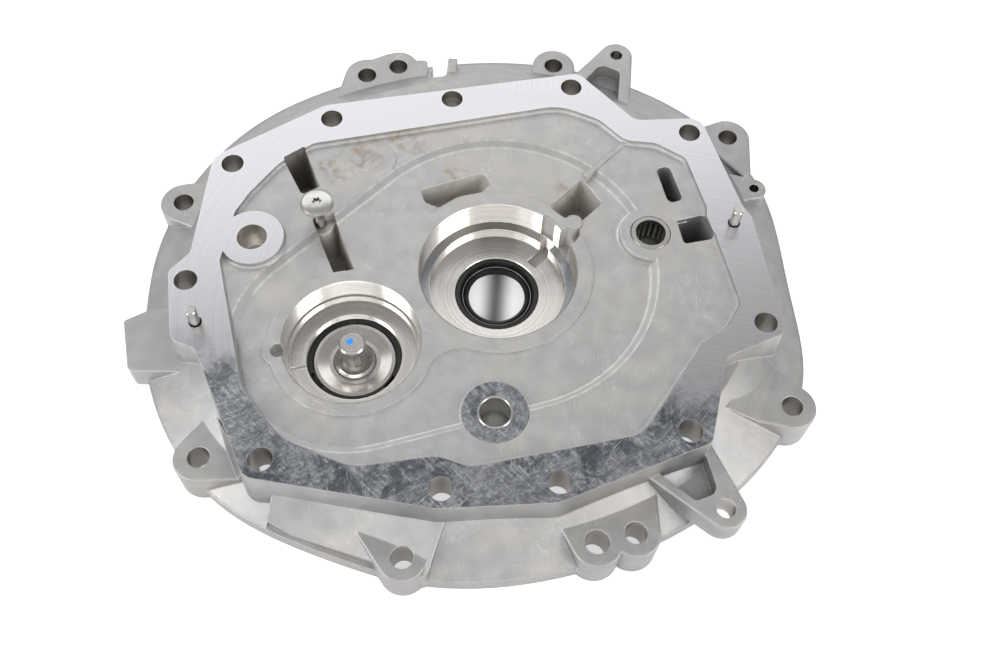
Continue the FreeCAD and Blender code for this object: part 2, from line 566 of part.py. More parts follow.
def bore_cutters():
    """Both bearing bores with their shoulders, the seal seat and the channels that feed them."""
    top = FLANGE_TOP + CLEAR
    mouth = 2 * BORE_CHAMFER
    input_mouth = Vector(0, 0, BORE_RIM - BORE_CHAMFER)
    lay_mouth = Vector(LAY_BORE[0], LAY_BORE[1], BORE_RIM - BORE_CHAMFER)
    return [cylinder((0, 0), INPUT_BORE_R, INPUT_SEAT, top),
            Part.makeCone(INPUT_BORE_R, INPUT_BORE_R + mouth, mouth, input_mouth, UP),
            cylinder((0, 0), INPUT_SHOULDER_R, INPUT_BORE_FLOOR + FLOOR_CONE, INPUT_SEAT + CLEAR),
            Part.makeCone(SEAL_OUTER_R, INPUT_SHOULDER_R, FLOOR_CONE, Vector(0, 0, INPUT_BORE_FLOOR), UP),
            cylinder((0, 0), SEAL_OUTER_R, SEAL_BOTTOM, INPUT_BORE_FLOOR + CLEAR),
            cylinder((0, 0), SEAL_STOP_R, -CLEAR, SEAL_BOTTOM + CLEAR),
            bar((0, 0), CHANNEL_ANGLE, SEAL_OUTER_R + 3, INPUT_BORE_R, FLOOR_GROOVE_WIDTH,
                INPUT_BORE_FLOOR - FLOOR_GROOVE_DEPTH, INPUT_SEAT + CLEAR),
            prism(WALL_NOTCH, INPUT_SEAT, top),
            prism(SIDE_NOTCH, INPUT_SEAT, top),
            prism(SIDE_NOTCH_STEP, SIDE_STEP_FLOOR, top),
            Part.makeCone(LAY_BORE_R, LAY_BORE_R + mouth, mouth, lay_mouth, UP),
            cylinder(LAY_BORE, LAY_BORE_R, LAY_STEP_Z, top),
            cylinder(LAY_BORE, LAY_STEP_R, LAY_BORE_FLOOR, LAY_STEP_Z + CLEAR),
            cylinder(LAY_BORE, LAY_RECESS_R, LAY_RECESS_FLOOR, LAY_BORE_FLOOR + CLEAR),
            cylinder(LAY_BORE, JOURNAL_R + RUNNING_GAP, JOURNAL_BOTTOM - SPINDLE_GAP,
                     LAY_RECESS_FLOOR + CLEAR),
            bar(LAY_BORE, LAY_GROOVE_ANGLE, LAY_RECESS_R - CLEAR, LAY_STEP_R - 0.5, LAY_GROOVE_WIDTH,
                LAY_BORE_FLOOR - 1, LAY_BORE_FLOOR + CLEAR),
            cylinder(lay_key_centre(), KEY_NOTCH_R, BORE_RIM - KEY_NOTCH_DEPTH, top)]


def small_hole_cutters():
    """Holes for the needle bearing, bush, dowel pins, bolts and screws."""
    top = FLANGE_TOP + CLEAR
    cutters = [cylinder(NEEDLE, SHELL_R, OUTER_FLOOR - NEEDLE_LENGTH - 0.5, top),
               cylinder(RAIL, RAIL_PAD_R, RAIL_PAD, top),
               cylinder(RAIL, BUSH_R, RAIL_PAD - BUSH_LENGTH + BUSH_PROUD, top),
               cylinder(STEP_HOLE, STEP_HOLE_R, FLANGE_TOP - STEP_DEPTH, top),
               cylinder(STEP_HOLE, STEP_DRILL_R, -CLEAR, FLANGE_TOP)]
    for pin in PINS.values():
        cutters.append(cylinder(pin, PIN_R, FLANGE_TOP - (PIN_LENGTH - PIN_STAND), top))
        cutters.append(cylinder(pin, PIN_HOLE_R, FLANGE_TOP - PIN_SINK, top))
    for hole in FLANGE_HOLES:
        cutters.append(cylinder(hole, FLANGE_HOLE_R, -CLEAR, top))
        cutters.append(cylinder(hole, BOLT_ACCESS_R, -CLEAR, FLANGE_TOP - BOLT_BOSS_DEPTH))
    for name, (x, y, radius, base_a, base_b) in LUGS.items():
        hole_r = {BIG_HOLE_LUG: DOWEL_LUG_HOLE_R, TAPPED_LUG: PIN_R}.get(name, LUG_HOLE_R)
        cutters.append(cylinder((x, y), hole_r, -CLEAR, LUG_TOP + CLEAR))
    for name, (x, y, radius, base_a, base_b, hole_r) in ARMS.items():
        cutters.append(cylinder((x, y), hole_r, -CLEAR, ARM_TOP + CLEAR))
    return cutters


def rim_notch():
    """Slot in the rim between the ledge and the narrow tab."""
    slot = Part.makeBox(2 * NOTCH_R, TAB_END, FLANGE_TOP, Vector(NOTCH[0] - NOTCH_R, NOTCH[1], -CLEAR))
    return slot.fuse(cylinder(NOTCH, NOTCH_R, -CLEAR, FLANGE_TOP - CLEAR))


def housing():
    """The one-piece casting."""
    envelope = bell_envelope()
    cavity = bell_loft(CAVITY_SCALE, -CLEAR, CAVITY_SCALE, CAVITY_SHOULDER)
    cavity = cavity.fuse(bell_loft(CAVITY_SCALE, CAVITY_SHOULDER, CAVITY_TOP_SCALE, CEILING))
    body = envelope.cut(cavity)
    body = body.fuse(engine_side_features(envelope))
    body = gear_side_floor(body)
    body = body.cut(bore_cutters())
    body = body.cut([drafted(corners, bottom, FLANGE_TOP, -POCKET_DRAFT)
                     for corners, bottom in pocket_list()])
    slot_end, slot_foot = LOWER_SLOT[1], LOWER_SLOT[2]
    direction = math.degrees(math.atan2(slot_end[1] - slot_foot[1], slot_end[0] - slot_foot[0]))
    lands = [cylinder(SCREW, SCREW_BOSS_R, POCKET_FLOOR - CLEAR, SCREW_BOSS_TOP),
             bar(SCREW, direction, -SCREW_R, SCREW_BOSS_R, 2.5 * SCREW_BOSS_R, POCKET_FLOOR - CLEAR,
                 SCREW_BOSS_TOP),
             cylinder(POCKET_LAND, POCKET_LAND_R, POCKET_FLOOR + CLEAR, BORE_RIM)]
    body = body.fuse(lands)
    body = body.cut([cylinder(SCREW, SCREW_R + RUNNING_GAP, SCREW_TIP - CLEAR, FLANGE_TOP), rim_notch()])
    body = body.cut(small_hole_cutters())
    return body


def dowel_pin(centre):
    """Ground pin with a lead at both ends and a relief ring at the mouth of its hole."""
    low = FLANGE_TOP - (PIN_LENGTH - PIN_STAND)
    high = FLANGE_TOP + PIN_STAND
    lead = PIN_R * 0.2
    return turned([(0, low), (PIN_R - lead, low), (PIN_R, low + lead), (PIN_R, FLANGE_TOP - PIN_SINK),
                   (PIN_R - PIN_NECK, FLANGE_TOP - PIN_SINK + PIN_NECK), (PIN_R - PIN_NECK, FLANGE_TOP),
                   (PIN_R, FLANGE_TOP + PIN_NECK), (PIN_R, high - lead), (PIN_R - lead, high),
                   (0, high)], centre)


def turned(profile, centre=(0, 0)):
    """Solid of revolution from a profile of radius, height pairs."""
    points = [Vector(r, 0, z) for r, z in profile]
    wire = Part.makePolygon(points + points[:1])
    solid = Part.Face(wire).revolve(Vector(0, 0, 0), UP, 360)
    solid.translate(Vector(centre[0], centre[1], 0))
    return solid


def input_seal():
    """Rubber covered seal ring with its inward lip."""
    width = SEAL_OUTER_R - SEAL_INNER_R
    profile = [(1.0, 1.0), (1.0, 0.09), (0.91, 0.0), (0.66, 0.0), (0.57, 0.17), (0.51, 0.46), (0.4, 0.54),
               (0.31, 0.29), (0.2, 0.23), (0.0, 0.49), (0.23, 0.86), (0.23, 1.0)]
    return turned([(SEAL_INNER_R + out * width, SEAL_TOP - down * SEAL_THICK) for out, down in profile])


def seal_spring():
    """Garter spring that lies in the groove behind the lip."""
    width = SEAL_OUTER_R - SEAL_INNER_R
    wire_r = 0.07 * width
    return Part.makeTorus(SEAL_INNER_R + 0.44 * width, wire_r, Vector(0, 0, SEAL_TOP - 0.35 * SEAL_THICK), UP)


def needle_shell():
    """Drawn cup of the needle bearing with turned-in lips at both ends."""
    low, high = OUTER_FLOOR - NEEDLE_LENGTH, OUTER_FLOOR
    inner = SHELL_R - SHELL_WALL
    lip = NEEDLE_SHAFT_R + 0.5
    bend = SHELL_WALL / 2
    return turned([(SHELL_R, low), (SHELL_R, high - bend), (SHELL_R - bend, high), (lip, high),
                   (lip, high - LIP_WALL), (inner, high - LIP_WALL), (inner, low + LIP_WALL),
                   (lip, low + LIP_WALL), (lip, low)], NEEDLE)


def needle_cage():
    """Cage with one window for each roller."""
    low = OUTER_FLOOR - NEEDLE_LENGTH + LIP_WALL + 0.3
    high = OUTER_FLOOR - LIP_WALL - 0.3
    pitch = NEEDLE_SHAFT_R + ROLLER_R
    half = CAGE_WALL / 2
    cage = cylinder(NEEDLE, pitch + half, low, high)
    cage = cage.cut(cylinder(NEEDLE, pitch - half, low - CLEAR, high + CLEAR))
    for index in range(ROLLER_COUNT):
        angle = 360.0 / ROLLER_COUNT * index
        cage = cage.cut(bar(NEEDLE, angle, pitch - 2, pitch + 2, 2 * ROLLER_R + 0.12, low + 1.2, high - 1.2))
    return cage


def needle_rollers():
    """Set of needle rollers in their cage windows."""
    low = OUTER_FLOOR - NEEDLE_LENGTH + LIP_WALL + 1.7
    high = OUTER_FLOOR - LIP_WALL - 1.7
    pitch = NEEDLE_SHAFT_R + ROLLER_R
    rollers = []
    for index in range(ROLLER_COUNT):
        angle = math.radians(360.0 / ROLLER_COUNT * index)
        centre = (NEEDLE[0] + pitch * math.cos(angle), NEEDLE[1] + pitch * math.sin(angle))
        rollers.append(cylinder(centre, ROLLER_R - RUNNING_GAP / 2, low, high))
    return Part.makeCompound(rollers)


def rail_bush():
    """Plain bush of the shift rail, both mouths eased."""
    low = RAIL_PAD - BUSH_LENGTH + BUSH_PROUD
    high = RAIL_PAD + BUSH_PROUD
    ease = BUSH_WALL * 0.27
    return turned([(RAIL_R, low), (BUSH_R, low), (BUSH_R, high - ease), (BUSH_R - ease, high),
                   (RAIL_R + ease, high), (RAIL_R, high - ease)], RAIL)


def bridge_screw():
    """Flange head screw with a six-lobed socket."""
    under = SCREW_HEAD_TOP - SCREW_HEAD_THICK
    profile = [(0, SCREW_TIP), (SCREW_R - 0.6, SCREW_TIP), (SCREW_R, SCREW_TIP + 0.8), (SCREW_R, under),
               (SCREW_HEAD_R, under), (SCREW_HEAD_R, under + 1.0), (SCREW_HEAD_R - 0.9, SCREW_HEAD_TOP - 0.7),
               (SCREW_HEAD_R - 2.2, SCREW_HEAD_TOP), (0, SCREW_HEAD_TOP)]
    screw = turned(profile, SCREW)
    socket_r = 2.4
    lobe_r = 0.75
    socket = cylinder(SCREW, socket_r, SCREW_HEAD_TOP - 2.4, SCREW_HEAD_TOP + CLEAR)
    for index in range(6):
        angle = math.radians(60 * index + 15)
        centre = (SCREW[0] + socket_r * math.cos(angle), SCREW[1] + socket_r * math.sin(angle))
        socket = socket.fuse(cylinder(centre, lobe_r, SCREW_HEAD_TOP - 2.4, SCREW_HEAD_TOP + CLEAR))
    return screw.cut(socket)


def spindle():
    """Turned spindle: a dished plate with a central post, slotted across for its drive key."""
    bottom = LAY_RECESS_FLOOR + SPINDLE_GAP
    plate = SPINDLE_PLATE_R
    post = SPINDLE_POST_R
    top = SPINDLE_PLATE_TOP
    dish = top - SPINDLE_DISH
    profile = [(0, JOURNAL_BOTTOM), (JOURNAL_R, JOURNAL_BOTTOM), (JOURNAL_R, bottom), (plate, bottom),
               (plate, top - 0.6), (plate - 0.6, top), (plate - 2.2, top),
               (post + 6.0, dish), (post + 4.2, dish), (post + 3.4, dish + 0.9), (post + 2.0, dish + 1.6),
               (post + 0.9, dish + 3.2), (post + 0.3, dish + 5.6), (post, dish + 8.0),
               (post, SPINDLE_POST_TOP - 0.6), (post - 0.6, SPINDLE_POST_TOP), (0, SPINDLE_POST_TOP)]
    solid = turned(profile, LAY_BORE)
    slot_top = SPINDLE_POST_TOP - KEY_SLOT_DROP
    slot = bar(LAY_BORE, KEY_ANGLE, post - KEY_SLOT_DEPTH, post + CLEAR, KEY_SLOT_WIDTH,
               slot_top - KEY_SLOT_LENGTH, slot_top)
    notch = bar(LAY_BORE, KEY_ANGLE + 180, post - KEY_SLOT_DEPTH * 0.75, post + CLEAR, KEY_SLOT_WIDTH,
                SPINDLE_POST_TOP - 2 * KEY_SLOT_DROP, SPINDLE_POST_TOP + CLEAR)
    return solid.cut([slot, notch])


def spindle_ring():
    """Moulded ring around the spindle plate, open at two places on its inner side."""
    low = LAY_RECESS_FLOOR
    high = low + RING_HEIGHT
    outer = LAY_RECESS_R
    inner = SPINDLE_PLATE_R + SPINDLE_GAP
    ring = cylinder(LAY_BORE, outer, low, high).cut(cylinder(LAY_BORE, inner, low - CLEAR, high + CLEAR))
    ring = ring.cut(bar(LAY_BORE, 216, inner - CLEAR, outer - 1.2, 9.0, low + 2.0, high + CLEAR))
    ring = ring.cut(bar(LAY_BORE, 330, inner - CLEAR, outer - 1.2, 7.0, low + 2.0, high + CLEAR))
    return ring


def spindle_key():
    """Drive key in the spindle's front slot."""
    top = SPINDLE_POST_TOP - KEY_SLOT_DROP - 2 * KEY_GAP
    low = top - KEY_SLOT_LENGTH + 4 * KEY_GAP
    return bar(LAY_BORE, KEY_ANGLE, SPINDLE_POST_R - KEY_SLOT_DEPTH, SPINDLE_POST_R - KEY_GAP / 2,
               KEY_SLOT_WIDTH - 1.5 * KEY_GAP, low, top)


NODES = {
    "housing": housing(),
    "dowel_pin_left": dowel_pin(PINS["dowel_pin_left"]),
    "dowel_pin_right": dowel_pin(PINS["dowel_pin_right"]),
    "input_seal": input_seal(),
    "seal_spring": seal_spring(),
    "needle_shell": needle_shell(),
    "needle_cage": needle_cage(),
    "needle_rollers": needle_rollers(),
    "rail_bush": rail_bush(),
    "bridge_screw": bridge_screw(),
    "spindle": spindle(),
    "spindle_ring": spindle_ring(),
    "spindle_key": spindle_key(),
}

os.makedirs("parts", exist_ok=True)
for name, shape in NODES.items():
    print(name, "solids", len(shape.Solids), "valid", shape.isValid(), "volume", round(shape.Volume, 1))
    shape.exportStep("parts/" + name + ".step")
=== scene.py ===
"""Studio scene of a die cast clutch housing that lies on its engine face.

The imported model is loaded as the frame. Each class below dresses one sub-assembly, and main()
builds them in order.
"""
import logging
import math
from dataclasses import dataclass, field
from enum import Enum
from typing import Any, Iterable, Sequence

import bmesh
import bpy
from mathutils import Matrix, Vector


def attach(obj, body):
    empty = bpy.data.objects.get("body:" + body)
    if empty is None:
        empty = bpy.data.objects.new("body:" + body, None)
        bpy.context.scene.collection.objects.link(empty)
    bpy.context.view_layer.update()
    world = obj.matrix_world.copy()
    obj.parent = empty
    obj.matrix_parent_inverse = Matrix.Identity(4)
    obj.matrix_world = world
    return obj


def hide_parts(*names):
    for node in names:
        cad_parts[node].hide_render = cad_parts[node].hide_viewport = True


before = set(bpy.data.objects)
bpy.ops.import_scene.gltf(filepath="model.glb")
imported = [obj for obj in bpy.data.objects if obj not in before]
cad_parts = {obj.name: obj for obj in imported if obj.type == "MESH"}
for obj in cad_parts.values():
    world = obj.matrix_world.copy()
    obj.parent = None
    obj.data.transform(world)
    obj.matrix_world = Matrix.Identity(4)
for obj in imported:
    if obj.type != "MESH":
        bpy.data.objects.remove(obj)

LOG = logging.getLogger("clutch_housing")
MM = 0.001
MM_PER_METRE = 1000.0
Socket = bpy.types.NodeSocket
Colour = tuple[float, float, float]
Point = tuple[float, float]
Triple = tuple[float, float, float]

INPUT_AXIS: Point = (0.0, 0.0)
LAY_AXIS: Point = (-65.3, -44.5)
NEEDLE_AXIS: Point = (73.4, 25.2)
RAIL_AXIS: Point = (3.1, -76.7)
SCREW_AXIS: Point = (-88.7, 20.6)
STEP_AXIS: Point = (-118.9, 5.2)
LEFT_PIN_AXIS: Point = (-136.7, -43.3)
RIGHT_PIN_AXIS: Point = (114.0, 32.3)


class Grain(Enum):
    """How a metal surface was last worked."""

    TURNED = "turned"
    GROUND = "ground"
    DRAWN = "drawn"


class Graph:
    """Adds nodes to one node tree and joins them."""

    def __init__(self, tree: bpy.types.NodeTree) -> None:
        """Keep the tree that the nodes go into."""
        self.tree = tree

    def node(self, kind: str, inputs: dict[Any, Any] | None = None, **settings: Any) -> bpy.types.Node:
        """Add one node.

        Args:
            kind: Node type without the ShaderNode prefix.
            inputs: Socket name or index to a value or to the socket that feeds it.
            settings: Properties of the node.

        Returns:
            The new node.
        """
        made = self.tree.nodes.new("ShaderNode" + kind)
        for key, value in settings.items():
            setattr(made, key, value)
        for key, value in (inputs or {}).items():
            self.feed(made.inputs[key], value)
        return made

    def feed(self, target: Socket, value: Any) -> None:
        """Set a socket to a number or colour, or join it to another socket."""
        if isinstance(value, bpy.types.NodeSocket):
            self.tree.links.new(value, target)
        elif isinstance(value, (tuple, list)) and target.type == "RGBA" and len(value) == 3:
            target.default_value = (*value, 1.0)
        else:
            target.default_value = value

    def math(self, operation: str, *values: Any, clamp: bool = False) -> Socket:
        """Join up one Math node and return its value."""
        made = self.node("Math", dict(enumerate(values)), operation=operation)
        made.use_clamp = clamp
        return made.outputs[0]

    def product(self, *values: Any) -> Socket:
        """Multiply several values together."""
        total = values[0]
        for value in values[1:]:
            total = self.math("MULTIPLY", total, value)
        return total

    def highest(self, *values: Any) -> Socket:
        """Take the highest of several values."""
        top = values[0]
        for value in values[1:]:
            top = self.math("MAXIMUM", top, value)
        return top

    def less(self, first: Any, second: Any) -> Socket:
        """Take one mask away from another."""
        return self.math("SUBTRACT", first, second, clamp=True)

    def openness(self, reach: float) -> Socket:
        """How open the surface lies within a reach in metres, one in the open and zero in a pit."""
        return self.node("AmbientOcclusion", {"Distance": reach}, samples=6, only_local=False).outputs["AO"]

    def vector(self, operation: str, *values: Any) -> Socket:
        """Join up one Vector Math node and return its vector."""
        return self.node("VectorMath", dict(enumerate(values)), operation=operation).outputs[0]

    def measure(self, operation: str, *values: Any) -> Socket:
        """Join up one Vector Math node and return its value."""
        return self.node("VectorMath", dict(enumerate(values)), operation=operation).outputs["Value"]

    def scaled(self, vector: Any, factor: Any) -> Socket:
        """Scale a vector by a value."""
        return self.node("VectorMath", {0: vector, "Scale": factor}, operation="SCALE").outputs[0]

    def parts(self, vector: Socket) -> tuple[Socket, Socket, Socket]:
        """Split a vector into its three values."""
        made = self.node("SeparateXYZ", {0: vector})
        return made.outputs[0], made.outputs[1], made.outputs[2]

    def joined(self, x: Any, y: Any, z: Any) -> Socket:
        """Join three values into a vector."""
        return self.node("CombineXYZ", {0: x, 1: y, 2: z}).outputs[0]

    def ramp(self, value: Any, low: float, high: float, to_low: Any = 0.0, to_high: Any = 1.0) -> Socket:
        """Smooth step of a value between two limits."""
        return self.node("MapRange", {0: value, 1: low, 2: high, 3: to_low, 4: to_high},
                         interpolation_type="SMOOTHSTEP").outputs[0]

    def band(self, value: Any, low: float, high: float, soft: float) -> Socket:
        """Mask that is one between two limits and fades out over a soft width."""
        rise = self.ramp(value, low - soft, low)
        fall = self.ramp(value, high, high + soft, 1.0, 0.0)
        return self.math("MULTIPLY", rise, fall)

    def mix(self, factor: Any, first: Any, second: Any) -> Socket:
        """Blend two colours."""
        made = self.node("Mix", data_type="RGBA")
        for index, value in ((0, factor), (6, first), (7, second)):
            self.feed(made.inputs[index], value)
        return made.outputs[2]

    def tint(self, factor: Any, first: Any, second: Any) -> Socket:
        """Multiply one colour by another, as far as a factor says."""
        made = self.node("Mix", data_type="RGBA", blend_type="MULTIPLY")
        for index, value in ((0, factor), (6, first), (7, second)):
            self.feed(made.inputs[index], value)
        return made.outputs[2]

    def blend(self, factor: Any, first: Any, second: Any) -> Socket:
        """Blend two values."""
        made = self.node("Mix", data_type="FLOAT")
        for index, value in ((0, factor), (2, first), (3, second)):
            self.feed(made.inputs[index], value)
        return made.outputs[0]

    def blend_vector(self, factor: Any, first: Any, second: Any) -> Socket:
        """Blend two vectors."""
        made = self.node("Mix", data_type="VECTOR")
        for index, value in ((0, factor), (4, first), (5, second)):
            self.feed(made.inputs[index], value)
        return made.outputs[1]

    def noise(self, vector: Socket, scale: Any, detail: float = 3.0, rough: float = 0.55,
              twist: float = 0.0) -> Socket:
        """Noise of a scale per millimetre, between zero and one."""
        inputs = {"Vector": vector, "Scale": scale, "Detail": detail, "Roughness": rough, "Distortion": twist}
        return self.node("TexNoise", inputs).outputs[0]

    def line_noise(self, value: Socket, scale: float, detail: float, rough: float = 0.5) -> Socket:
        """Noise along one line, between zero and one."""
        inputs = {"W": value, "Scale": scale, "Detail": detail, "Roughness": rough}
        return self.node("TexNoise", inputs, noise_dimensions="1D").outputs[0]

    def turned(self, vector: Socket, angle: Any) -> Socket:
        """Turn a vector about the upright axis."""
        return self.node("VectorRotate", {"Vector": vector, "Angle": angle}, rotation_type="Z_AXIS").outputs[0]

    def place(self) -> Socket:
        """Object coordinates in millimetres."""
        return self.scaled(self.node("TexCoord").outputs["Object"], MM_PER_METRE)

    def facing(self) -> Socket:
        """Normal of the surface."""
        return self.node("NewGeometry").outputs["Normal"]


@dataclass(frozen=True)
class Effect:
    """A shader node group with its named inputs and outputs."""

    name: str
    takes: tuple[tuple[str, str, Any], ...]
    gives: tuple[tuple[str, str], ...]

    def tree(self) -> tuple[bpy.types.NodeTree, bool]:
        """Find or start the group.

        Returns:
            The node tree and whether it is new and still empty.
        """
        kept = bpy.data.node_groups.get(self.name)
        if kept:
            return kept, False
        tree = bpy.data.node_groups.new(self.name, "ShaderNodeTree")
        for name, kind, default in self.takes:
            socket = tree.interface.new_socket(name, in_out="INPUT", socket_type="NodeSocket" + kind)
            socket.default_value = default
        for name, kind in self.gives:
            tree.interface.new_socket(name, in_out="OUTPUT", socket_type="NodeSocket" + kind)
        return tree, True

    def build(self, graph: Graph, source: bpy.types.Node, sink: bpy.types.Node) -> None:
        """Fill the group with nodes."""
        raise NotImplementedError

    def use(self, graph: Graph, **inputs: Any) -> bpy.types.Node:
        """Place the group in a material.

        Args:
            graph: The material's graph.
            inputs: Input names, with _ for a space, to values or sockets.

        Returns:
            The group node.
        """
        tree, fresh = self.tree()
        if fresh:
            inner = Graph(tree)
            self.build(inner, tree.nodes.new("NodeGroupInput"), tree.nodes.new("NodeGroupOutput"))
        placed = graph.node("Group")
        placed.node_tree = tree
        for key, value in inputs.items():
            graph.feed(placed.inputs[key.replace("_", " ")], value)
        return placed


class CastGrain(Effect):
    """Grain, pits and slow waves of a die cast skin."""

    def build(self, graph: Graph, source: bpy.types.Node, sink: bpy.types.Node) -> None:
        """Add fine grain, pits and broad waves."""
        place = source.outputs["Place"]
        fine = graph.noise(place, 1.7, 4.0, 0.62)
        broad = graph.noise(place, 0.11, 3.0, 0.5)
        cells = graph.node("TexVoronoi", {"Vector": place, "Scale": 0.62, "Randomness": 1.0})
        pits = graph.ramp(cells.outputs["Distance"], 0.02, 0.2)
        height = graph.math("ADD", graph.product(fine, 0.55), graph.product(broad, 1.6))
        height = graph.math("ADD", height, graph.product(pits, 0.22))
        tone = graph.math("ADD", graph.product(broad, 0.6), graph.product(fine, 0.4))
        graph.feed(sink.inputs["Height"], height)
        graph.feed(sink.inputs["Tone"], tone)
        graph.feed(sink.inputs["Broad"], broad)


class LatheRings(Effect):
    """Rings that a lathe tool or a boring bar leaves round an axis."""

    def build(self, graph: Graph, source: bpy.types.Node, sink: bpy.types.Node) -> None:
        """Tilt the normal across the grooves and give their tone."""
        place, centre, normal = (source.outputs[key] for key in ("Place", "Centre", "Normal"))
        arm = graph.vector("SUBTRACT", place, centre)
        x, y, z = graph.parts(arm)
        radius = graph.measure("LENGTH", graph.joined(x, y, 0.0))
        across = graph.math("ADD", radius, z)
        fine = graph.line_noise(graph.math("DIVIDE", across, source.outputs["Pitch"]), 1.0, 2.0, 0.7)
        wide = graph.line_noise(across, 0.9, 1.0)
        round_way = graph.vector("NORMALIZE", graph.joined(graph.math("MULTIPLY", y, -1.0), x, 0.0))
        tilt_way = graph.vector("CROSS_PRODUCT", normal, round_way)
        tilt = graph.product(graph.math("SUBTRACT", fine, 0.5), source.outputs["Amount"], 2.0)
        leaned = graph.vector("ADD", normal, graph.joined(0.0, 0.0, source.outputs["Lean"]))
        bent = graph.vector("NORMALIZE", graph.vector("ADD", leaned, graph.scaled(tilt_way, tilt)))
        graph.feed(sink.inputs["Normal"], bent)
        graph.feed(sink.inputs["Tone"], graph.math("ADD", graph.product(fine, 0.5), graph.product(wide, 0.5)))


class MillSweeps(Effect):
    """Overlapping arcs that a wide face mill leaves as it travels."""

    def build(self, graph: Graph, source: bpy.types.Node, sink: bpy.types.Node) -> None:
        """Turn the place into the cutter's travel and mark every feed step."""
        x, y, _ = graph.parts(graph.turned(source.outputs["Place"], source.outputs["Turn"]))
        reach = source.outputs["Reach"]
        off_track = graph.math("ABSOLUTE", graph.math("SUBTRACT", y, source.outputs["Track"]))
        side = graph.math("MINIMUM", off_track, graph.product(reach, 0.98))
        square = graph.math("SUBTRACT", graph.product(reach, reach), graph.product(side, side))
        sag = graph.math("SQRT", square)
        step = graph.math("DIVIDE", graph.math("ADD", x, sag), source.outputs["Feed"])
        fine = graph.line_noise(step, 1.0, 2.0, 0.6)
        wave = graph.math("SINE", graph.product(step, math.tau))
        height = graph.math("ADD", graph.product(fine, 0.7), graph.product(wave, 0.12))
        graph.feed(sink.inputs["Height"], height)
        graph.feed(sink.inputs["Tone"], fine)


class EdgeRubAndHighlight(Effect):
    """Mask along edges, for rubbed wear and for painted highlight lines."""

    def build(self, graph: Graph, source: bpy.types.Node, sink: bpy.types.Node) -> None:
        """Compare the normal with one that is rounded over the edge."""
        eased = graph.node("Bevel", {"Radius": source.outputs["Width"]}, samples=6).outputs[0]
        facing = graph.facing()
        turn = graph.math("SUBTRACT", 1.0, graph.measure("DOT_PRODUCT", eased, facing))
        patch = graph.ramp(graph.noise(source.outputs["Place"], 0.35, 3.0, 0.6), 0.3, 0.62, 0.45, 1.0)
        graph.feed(sink.inputs["Mask"], graph.product(graph.ramp(turn, 0.02, 0.22), patch))


class Blotches(Effect):
    """Irregular stains and smears."""

    def build(self, graph: Graph, source: bpy.types.Node, sink: bpy.types.Node) -> None:
        """Threshold a twisted noise between two levels."""
        cloud = graph.noise(source.outputs["Place"], source.outputs["Scale"], 5.0, 0.6, 1.2)
        made = graph.node("MapRange", {0: cloud, 1: source.outputs["Low"], 2: source.outputs["High"]},
                          interpolation_type="SMOOTHSTEP")
        graph.feed(sink.inputs["Mask"], made.outputs[0])


class Smears(Effect):
    """Long brushed streaks along one direction."""

    def build(self, graph: Graph, source: bpy.types.Node, sink: bpy.types.Node) -> None:
        """Stretch a noise along the direction and keep its upper part."""
        turned = graph.turned(source.outputs["Place"], source.outputs["Turn"])
        long_way = graph.vector("MULTIPLY", turned, (0.05, 0.9, 0.3))
        fine_way = graph.vector("MULTIPLY", turned, (0.10, 2.6, 0.6))
        streak = graph.math("ADD", graph.product(graph.noise(long_way, 1.0, 4.0, 0.6, 0.6), 0.6),
                            graph.product(graph.noise(fine_way, 1.0, 3.0, 0.6, 0.4), 0.4))
        graph.feed(sink.inputs["Mask"], graph.ramp(streak, 0.46, 0.58))


class Scratches(Effect):
    """Fine bright scratches in three directions, in patches."""

    def build(self, graph: Graph, source: bpy.types.Node, sink: bpy.types.Node) -> None:
        """Keep only the crests of three stretched noises."""
        place = source.outputs["Place"]
        total: Any = 0.0
        for turn, seed in ((0.35, 3.0), (-0.9, 47.0), (1.4, 91.0)):
            drawn = graph.vector("MULTIPLY", graph.turned(place, turn), (0.055, 1.5, 0.2))
            moved = graph.vector("ADD", drawn, (seed, seed, 0.0))
            crest = graph.math("ABSOLUTE", graph.math("SUBTRACT", graph.noise(moved, 1.0, 1.0, 0.5), 0.5))
            cloud = graph.noise(graph.vector("ADD", place, (seed, 0.0, 0.0)), 0.045, 2.0)
            line = graph.ramp(crest, 0.004, 0.012, 1.0, 0.0)
            total = graph.math("MAXIMUM", total, graph.product(line, graph.ramp(cloud, 0.57, 0.64)))
        graph.feed(sink.inputs["Mask"], total)


class PlanDistance(Effect):
    """Distance in plan from an upright axis."""

    def build(self, graph: Graph, source: bpy.types.Node, sink: bpy.types.Node) -> None:
        """Drop the height and measure the length."""
        x, y, z = graph.parts(graph.vector("SUBTRACT", source.outputs["Place"], source.outputs["Centre"]))
        graph.feed(sink.inputs["Distance"], graph.measure("LENGTH", graph.joined(x, y, 0.0)))
        graph.feed(sink.inputs["Height"], z)


ORIGIN = (0.0, 0.0, 0.0)
CAST_GRAIN = CastGrain("cast_grain", (("Place", "Vector", ORIGIN),),
                       (("Height", "Float"), ("Tone", "Float"), ("Broad", "Float")))
LATHE_RINGS = LatheRings("lathe_rings", (("Place", "Vector", ORIGIN), ("Centre", "Vector", ORIGIN),
                                         ("Normal", "Vector", ORIGIN), ("Pitch", "Float", 0.2),
                                         ("Amount", "Float", 0.15), ("Lean", "Float", 0.0)),
                         (("Normal", "Vector"), ("Tone", "Float")))
MILL_SWEEPS = MillSweeps("mill_sweeps", (("Place", "Vector", ORIGIN), ("Turn", "Float", 0.0),
                                         ("Track", "Float", 0.0), ("Reach", "Float", 40.0),
                                         ("Feed", "Float", 0.8)),
                         (("Height", "Float"), ("Tone", "Float")))
EDGE_RUB_AND_HIGHLIGHT = EdgeRubAndHighlight("edge_rub_and_highlight", (("Place", "Vector", ORIGIN), ("Width", "Float", 0.0006)), (("Mask", "Float"),))
